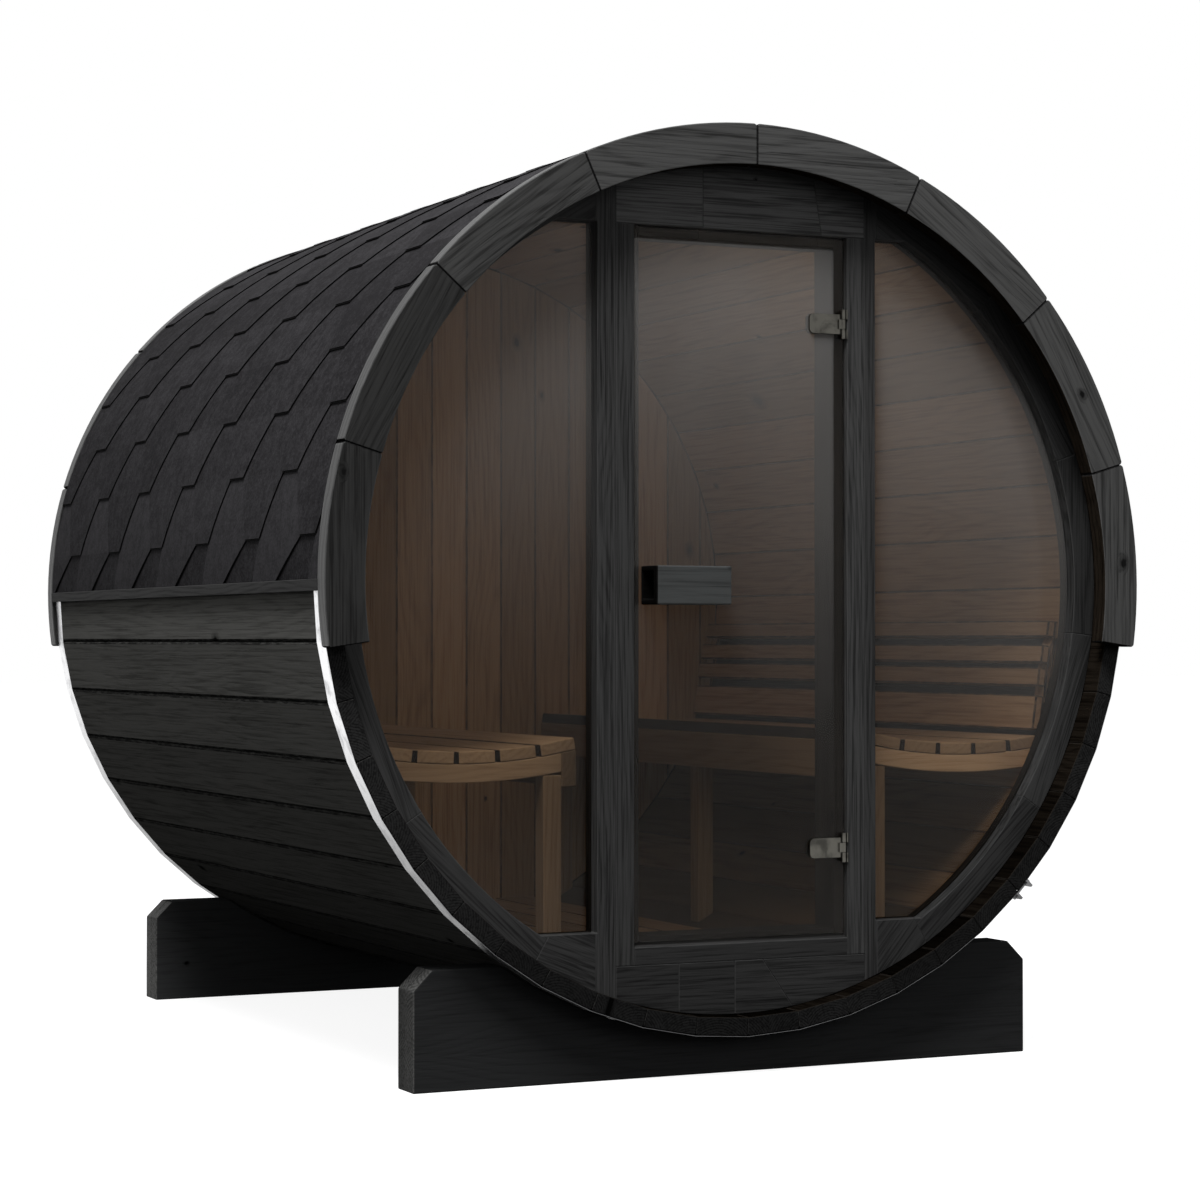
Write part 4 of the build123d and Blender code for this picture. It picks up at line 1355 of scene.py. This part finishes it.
class SheetMesh:
    """Thin sheets bent round the barrel, gathered into one mesh."""

    def __init__(self, roof: Shingles, side: Side) -> None:
        """Start an empty mesh.

        Args:
            roof: The roof that the sheets belong to.
            side: The slope that they lie on.
        """
        self.roof = roof
        self.side = side
        self.points: list[tuple[float, float, float]] = []
        self.faces: list[tuple[int, ...]] = []
        self.tones: list[float] = []
        self.edge_and_light_marks: list[float] = []

    def point(self, arc: float, along: float, height: float) -> int:
        """Add a point.

        Args:
            arc: Its place up the slope from the eave.
            along: Its place along the barrel.
            height: How far it stands off the underlay.

        Returns:
            Its number.
        """
        plan = self.roof.plan
        angle = arc / plan.roof_inner
        reach = plan.roof_inner + height
        x = self.side.value * reach * math.cos(angle)
        self.points.append((x, along, plan.axis_height + reach * math.sin(angle)))
        return len(self.points) - 1

    def strip(
        self,
        arcs: Sequence[float],
        spans: Sequence[tuple[float, float]],
        foot: float,
        tone: float,
        lift: float = 0.0,
        edge_and_light: EdgeAndLight = EdgeAndLight.PLAIN,
    ) -> None:
        """Add a closed sheet between two edges.

        Args:
            arcs: The places up the slope of its rows of points.
            spans: Its two ends along the barrel at each row.
            foot: The course's lower edge, which sets its height.
            tone: The sheet's own shade.
            lift: How much higher it lies.
            edge_and_light: How its faces are dressed; its cut edges are always bare.
        """
        rows = []
        for arc, (front, back) in zip(arcs, spans):
            high = self.roof.top(foot, arc) + lift
            low = max(high - self.roof.sheet, 0.0001)
            corners = ((front, high), (back, high), (back, low), (front, low))
            rows.append([self.point(arc, y, h) for y, h in corners])
        self._shell(rows, tone, edge_and_light)

    def underlay(self) -> None:
        """Add the sheet under the first course, from the eave to the ridge."""
        roof = self.roof
        steps = roof.rows * (roof.courses + 1)
        ridge = math.pi / 2 * roof.plan.roof_inner
        high = roof.sheet * roof.underlay_sheet
        front, back = roof.plan.stave_front, roof.plan.stave_back
        corners = ((front, high), (back, high), (back, 0.0), (front, 0.0))
        rows = [[self.point(ridge * step / steps, y, h) for y, h in corners] for step in range(steps + 1)]
        self._shell(rows, roof.underlay_tone, EdgeAndLight.PLAIN)

    def _shell(self, rows: Sequence[Sequence[int]], tone: float, edge_and_light: EdgeAndLight) -> None:
        """Close a loft of four-cornered rows.

        Args:
            rows: The corners of each row: two on the upper face, then two on the lower.
            tone: The sheet's own shade.
            edge_and_light: How the upper and lower faces are dressed.
        """
        start = len(self.tones)
        for first, second in zip(rows[:-1], rows[1:]):
            for corner in range(4):
                after = (corner + 1) % 4
                self.faces.append((first[corner], first[after], second[after], second[corner]))
                self.edge_and_light_marks.append(edge_and_light.value if corner in (0, 2) else EdgeAndLight.EDGE.value)
        self.faces.append(tuple(rows[0][::-1]))
        self.faces.append(tuple(rows[-1]))
        self.edge_and_light_marks.extend((EdgeAndLight.EDGE.value, EdgeAndLight.EDGE.value))
        self.tones.extend([tone] * (len(self.points) - start))

    def ridge_piece(
        self, quarter: float, reach: float, front: float, back: float, tone: float, even: bool,
    ) -> None:
        """Add one piece of the ridge cap, lowest at its back end.

        Args:
            quarter: The arc from the eave to the ridge.
            reach: How far the piece comes down each slope.
            front: Its front end.
            back: Its back end.
            tone: The piece's own shade.
            even: Whether it is an even one, which is cut a little wider.
        """
        roof = self.roof
        sheet = roof.sheet * roof.cap_sheet
        half = reach + (roof.cap_widening if even else 0.0)
        top_foot = roof.first_foot + (roof.courses - 1) * roof.exposure
        rows = []
        for step in range(-roof.cap_steps, roof.cap_steps + 1):
            aside = half * step / roof.cap_steps
            base = roof.top(top_foot, quarter - abs(aside))
            corners = (
                (front, base + sheet * (1 + roof.cap_rise)), (back, base + sheet), (back, base),
                (front, base + sheet * roof.cap_rise),
            )
            rows.append([self.point(quarter + aside, y, h) for y, h in corners])
        self._shell(rows, tone, EdgeAndLight.PLAIN)

    def piece(self, name: str, finish: bpy.types.Material) -> bpy.types.Object:
        """Make the mesh an object.

        Args:
            name: The piece's name.
            finish: Its material.

        Returns:
            The piece.
        """
        mesh = bpy.data.meshes.new(name)
        mesh.from_pydata(self.points, [], self.faces)
        mesh.attributes.new("tone", "FLOAT", "POINT").data.foreach_set("value", self.tones)
        mesh.attributes.new("edge_and_light", "FLOAT", "FACE").data.foreach_set("value", self.edge_and_light_marks)
        mesh.materials.append(finish)
        tidy = bmesh.new()
        tidy.from_mesh(mesh)
        bmesh.ops.recalc_face_normals(tidy, faces=tidy.faces)
        tidy.to_mesh(mesh)
        tidy.free()
        made = bpy.data.objects.new(name, mesh)
        bpy.context.scene.collection.objects.link(made)
        return made


@dataclass(frozen=True)
class Work:
    """One node's boards: their name, finishes, edges, tone and saw cuts."""

    node: str
    label: str
    slot: str
    seed: int
    finishes: tuple[bpy.types.Material, ...]
    rounding: float = 0.0018
    shade: float = 0.0
    cuts: tuple[Cut, ...] = ()
    choose: Callable[[Vector, Vector], int] | None = None
    shade_of: Callable[[Vector], float] | None = None
    run: Vector | None = None

    def build(self) -> None:
        """Make the boards and put them in the node's place."""
        maker = BoardMaker(self.seed, rounding=self.rounding, shade=self.shade)
        parts = maker.saw(maker.solids(self.node), self.cuts)
        piece = maker.boards(self.label, parts, self.finishes, self.choose, self.shade_of, self.run)
        put(piece, SAUNA, self.slot, self.node)


@dataclass
class Joinery:
    """Every other timber piece of the sauna."""

    plan: Plan
    finishes: Finishes
    rim_seams: tuple[float, ...] = (-59.0, -33.0, -7.0, 19.0, 45.0)
    pane_lap: float = 0.012
    shoulder: float = 0.004
    header_seam: float = -0.0867
    header_scarf: tuple[float, float, float] = (0.2204, 1.94, -9.0)
    foot_seams: tuple[float, float] = (-0.1488, -0.0055)
    foot_scarf: tuple[float, float, float] = (0.1142, 0.1887, -35.0)
    side_facing: float = 0.3
    gap_facing: float = 0.6
    bearer_foot: float = 0.5
    front_bearer: float = -0.7
    leg_shade: float = -1.2
    bearer_shade: float = -2.3
    lit_bearer_shades: tuple[float, float] = (0.4, 3.0)

    def build(self) -> None:
        """Make the strips, cradles, front wall, door frame, cabin fittings and back wall."""
        for work in (*self.front(), *self.sides(), *self.cradles(), *self.cabin()):
            work.build()

    def front(self) -> list[Work]:
        """The panels over and under the door, and its sill.

        Returns:
            Their work.
        """
        dark = (self.finishes.frame,)
        level = Vector((1, 0, 0))
        over = (Cut.upright(self.header_seam), Cut.upright(*self.header_scarf))
        under = (*map(Cut.upright, self.foot_seams), Cut.upright(*self.foot_scarf))
        return [
            # The header is much lighter: painted light on a panel that the trim above shades.
            Work("front_header", "header_boards", "frame_timber", 91, dark, shade=3.2, cuts=over, run=level),
            Work(
                "front_foot_panel", "foot_boards", "frame_timber", 93, dark, shade=-1.0, cuts=under,
                run=level,
            ),
            Work("door_sill", "sill_board", "frame_timber", 95, dark, shade=-1.7),
        ]

    def sides(self) -> list[Work]:
        """The eave strips, the side frames and the door's jambs, on both sides.

        Returns:
            Their work.
        """
        dark = (self.finishes.frame,)
        works = []
        for side in Side:
            name = side.name.lower()
            pane_low, pane_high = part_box(f"side_pane_{name}")
            post = pane_low.x if side is Side.RIGHT else pane_high.x
            post += side.value * (self.pane_lap + self.shoulder)
            angles = [seam if side is Side.RIGHT else 180.0 - seam for seam in self.rim_seams]
            rim = [Cut.radial(self.plan.axis_height, angle, abs(post) + self.pane_lap) for angle in angles]
            cuts = (Cut.upright(post), *rim)
            sign = side.value
            jamb_shade = 0.9 if side is Side.RIGHT else 0.2
            works += [
                Work(f"eave_strip_{name}", f"eave_board_{name}", "frame_timber", 31 + sign, dark, 0.0012),
                Work(
                    f"side_frame_{name}", f"side_frame_boards_{name}", "frame_timber", 111 + sign, dark,
                    shade=-0.5, cuts=cuts,
                ),
                Work(
                    f"door_jamb_{name}", f"jamb_board_{name}", "frame_timber", 41 + sign, dark,
                    shade=jamb_shade,
                ),
            ]
        return works

    def cradles(self) -> list[Work]:
        """Both cradles. Their ends and chamfers show end grain and are lighter, painted light, and the back
        cradle, which the barrel shades, is lighter all over, painted light too.

        Returns:
            Their work.
        """
        finishes = (self.finishes.cradle, self.finishes.cradle_end)
        return [
            Work(
                f"cradle_{end}", f"cradle_planks_{end}", "cradle_timber", 81 + number, finishes, 0.003,
                choose=lambda middle, normal: int(abs(normal.x) > self.side_facing), shade=4.8 * number,
            )
            for number, end in enumerate(("front", "back"))
        ]

    def cabin(self) -> list[Work]:
        """The back wall, the floor and the benches.

        Returns:
            Their work.
        """
        inner = (self.finishes.inner,)
        works = [
            Work(
                "back_wall", "back_boards", "inner_timber", 97,
                (self.finishes.inner_wall, self.finishes.frame), 0.003,
                choose=lambda middle, normal: int(normal.y > self.side_facing),
            ),
            # Painted shade: the floor boards are darker.
            Work("floor_boards", "floor_slats", "inner_timber", 99, inner, 0.002, shade=-0.9),
            Work("floor_joists", "joist_timbers", "inner_timber", 101, inner, 0.002),
        ]
        slats = (self.finishes.seat, self.finishes.shadowed)
        for side in Side:
            name = side.name.lower()
            sign = side.value
            works += [
                Work(
                    f"bench_seat_{name}", f"bench_slats_{name}", "inner_timber", 51 + sign, slats, 0.0028,
                    choose=self.in_gap,
                ),
                Work(
                    f"bench_frame_{name}", f"bench_timbers_{name}", "inner_timber", 61 + sign,
                    (self.finishes.seat,), 0.0022, shade_of=self.bench_shade,
                ),
                # Their wide near-black rounded edges are painted shade in the gaps between the slats.
                Work(
                    f"backrest_{name}", f"backrest_slats_{name}", "inner_timber", 71 + sign,
                    (self.finishes.slat,), 0.004,
                ),
            ]
        return works

    def bench_shade(self, middle: Vector) -> float:
        """Give a bench timber its tone.

        Args:
            middle: The timber's middle.

        Returns:
            The tone, with painted light and shade: legs and aisle rails are darker, and the bearers behind
                the glass lighter.
        """
        if middle.z < self.bearer_foot:
            return self.leg_shade
        if middle.y < self.front_bearer:
            return self.lit_bearer_shades[middle.x > 0]
        return self.bearer_shade

    def in_gap(self, _: Vector, normal: Vector) -> int:
        """1 for a seat slat's sides and underside, where little light falls, otherwise 0."""
        return int(abs(normal.x) > self.gap_facing or normal.z < -self.gap_facing)


@dataclass
class Glazing:
    """The fixed panes, the glass door, its hinges and its handle."""

    finishes: Finishes
    pocket_rim: float = 0.004
    pane_edge: float = 0.0008
    leaf_edge: float = 0.0009
    grip_edge: float = 0.003
    hinge_edge: float = 0.0005

    def build(self) -> None:
        """Make the panes and dress the fittings."""
        for side in Side:
            node = f"side_pane_{side.name.lower()}"
            maker = BoardMaker(121 + side.value, rounding=self.pane_edge)
            piece = maker.boards(f"{node}_glass", maker.solids(node), [self.finishes.glass])
            put(piece, SAUNA, "pane_glass", node)
        maker = BoardMaker(131, rounding=self.leaf_edge)
        piece = maker.boards("door_leaf", maker.solids("door_glass"), [self.finishes.door_glass])
        put(piece, DOOR, "door_glass", "door_glass")
        maker = BoardMaker(133, rounding=self.grip_edge)
        finishes = [self.finishes.handle, self.finishes.hollow]
        piece = maker.boards("door_grip", maker.solids("door_handle"), finishes, self.in_pocket)
        put(piece, DOOR, "handle_timber", "door_handle")
        fittings = (("hinge_clamps", "hinge_plates", DOOR), ("hinge_leaves", "hinge_straps", SAUNA))
        for node, label, body in fittings:
            maker = BoardMaker(141, rounding=self.hinge_edge)
            piece = maker.boards(label, maker.solids(node), [self.finishes.hinge])
            put(piece, body, "hinge_steel", node)

    def in_pocket(self, middle: Vector, normal: Vector) -> int:
        """Pick the finish for a face of the grip.

        Args:
            middle: The face's middle.
            normal: The face's normal.

        Returns:
            normal: The face's normal, which is not used.
        """
        low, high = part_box("door_handle")
        rim = self.pocket_rim
        inside = all(low[axis] + rim < middle[axis] < high[axis] - rim for axis in range(3))
        return int(inside or middle.x < low.x + rim)


@dataclass
class Bands:
    """The steel bands, which keep the frame's own shape."""

    finishes: Finishes

    def build(self) -> None:
        """Dress both bands."""
        for end in ("front", "back"):
            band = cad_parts[f"band_{end}"]
            band.data.materials.clear()
            band.data.materials.append(self.finishes.band)
            LOG.info("band_%s dressed", end)


@dataclass(frozen=True)
class Lamp:
    """A square lamp that no ray sees but that lights its target."""

    name: str
    place: Vector
    target: Vector
    size: float
    power: float

    def hang(self) -> None:
        """Add the lamp to the scene."""
        data = bpy.data.lights.new(self.name, "AREA")
        data.shape = "SQUARE"
        data.size = self.size
        data.energy = self.power
        lamp = bpy.data.objects.new(self.name, data)
        lamp.location = self.place
        lamp.rotation_euler = (self.target - self.place).to_track_quat("-Z", "Y").to_euler()
        lamp.visible_camera = False
        lamp.visible_glossy = False
        lamp.visible_transmission = False
        bpy.context.scene.collection.objects.link(lamp)


@dataclass
class Studio:
    """The camera where the photograph was taken from, soft light and a white floor."""

    eye: Vector = field(default_factory=lambda: Vector((-3.217, -7.0203, 0.986)))
    tilt: float = 90.776
    turn: float = -25.51
    lens: float = 89.48
    sensor: float = 36.0
    far: float = 200.0
    sky_light: float = 0.42
    floor_tint: Tint = Tint.grey(0.3)
    floor_bounce: Tint = Tint.grey(0.03)
    floor_glow: float = 0.9
    floor_reach: float = 60.0
    floor_drop: float = 0.0005

    def build(self) -> None:
        """Set the view, the lamps, the world and the floor."""
        scene = bpy.context.scene
        scene.view_settings.view_transform = "Standard"
        camera_data = bpy.data.cameras.new("camera")
        camera_data.lens = self.lens
        camera_data.sensor_width = self.sensor
        camera_data.clip_end = self.far
        camera = bpy.data.objects.new("camera", camera_data)
        camera.location = self.eye
        camera.rotation_euler = Euler((math.radians(self.tilt), 0.0, math.radians(self.turn)))
        scene.collection.objects.link(camera)
        scene.camera = camera
        self.world()
        self.floor()
        middle = Vector((0.0, 0.0, 1.0))
        cabin = Vector((0.35, 0.6, 1.5))
        Lamp("key", Vector((-2.6, -3.6, 7.5)), middle, 2.5, 920.0).hang()
        Lamp("top", Vector((0.5, 1.0, 7.0)), middle, 4.0, 80.0).hang()
        Lamp("front", Vector((2.5, -8.5, 3.5)), middle, 4.0, 130.0).hang()
        Lamp("cabin", Vector((-0.05, -0.72, 1.78)), cabin, 0.6, 1.5).hang()

    @staticmethod
    def seen(graph: Graph) -> Value:
        """Pick the rays that show the background: the camera's, reflected ones and those through glass.

        Args:
            graph: The graph that asks.

        Returns:
            1 for such a ray, otherwise 0.
        """
        path = graph.node("ShaderNodeLightPath")
        outputs = path.socket.node.outputs
        share = Value(graph, outputs["Is Camera Ray"])
        for name in ("Is Glossy Ray", "Is Transmission Ray"):
            share = share.maths("MAXIMUM", Value(graph, outputs[name]))
        return share

    def world(self) -> None:
        """A white background and an even, weaker light."""
        world = bpy.data.worlds.new("studio")
        bpy.context.scene.world = world
        graph = Graph(world)
        level = self.seen(graph) * (1.0 - self.sky_light) + self.sky_light
        sky = graph.node("ShaderNodeBackground", inputs={"Color": Tint.grey(1.0), "Strength": level})
        graph.show("ShaderNodeOutputWorld", sky)

    def floor(self) -> None:
        """A wide white floor that keeps a soft shadow."""
        mesh = bpy.data.meshes.new("floor")
        reach = self.floor_reach
        corners = [(-reach, -reach, 0), (reach, -reach, 0), (reach, reach, 0), (-reach, reach, 0)]
        mesh.from_pydata(corners, [], [(0, 1, 2, 3)])
        graph = Graph.named("floor_white")
        lit = graph.node("ShaderNodeBsdfDiffuse", inputs={"Color": self.floor_tint})
        dark = graph.node("ShaderNodeBsdfDiffuse", inputs={"Color": self.floor_bounce})
        glow = {"Color": Tint.grey(1.0), "Strength": self.floor_glow}
        white = graph.node("ShaderNodeEmission", inputs=glow)
        shown = graph.node("ShaderNodeAddShader", inputs={0: lit, 1: white})
        shader = graph.node("ShaderNodeMixShader", inputs={0: self.seen(graph), 1: dark, 2: shown})
        mesh.materials.append(graph.finish(shader))
        floor = bpy.data.objects.new("floor", mesh)
        floor.location.z = -self.floor_drop
        bpy.context.scene.collection.objects.link(floor)


def main() -> None:
    """Build the sauna and its studio."""
    logging.basicConfig(level=logging.INFO, format="%(name)s %(message)s")
    plan = Plan()
    finishes = Finishes()
    Studio().build()
    Barrel(plan, finishes).build()
    TrimRings(plan, finishes).build()
    Shingles(plan, finishes).build()
    Joinery(plan, finishes).build()
    Bands(finishes).build()
    Glazing(finishes).build()


if __name__ == "__main__":
    main()
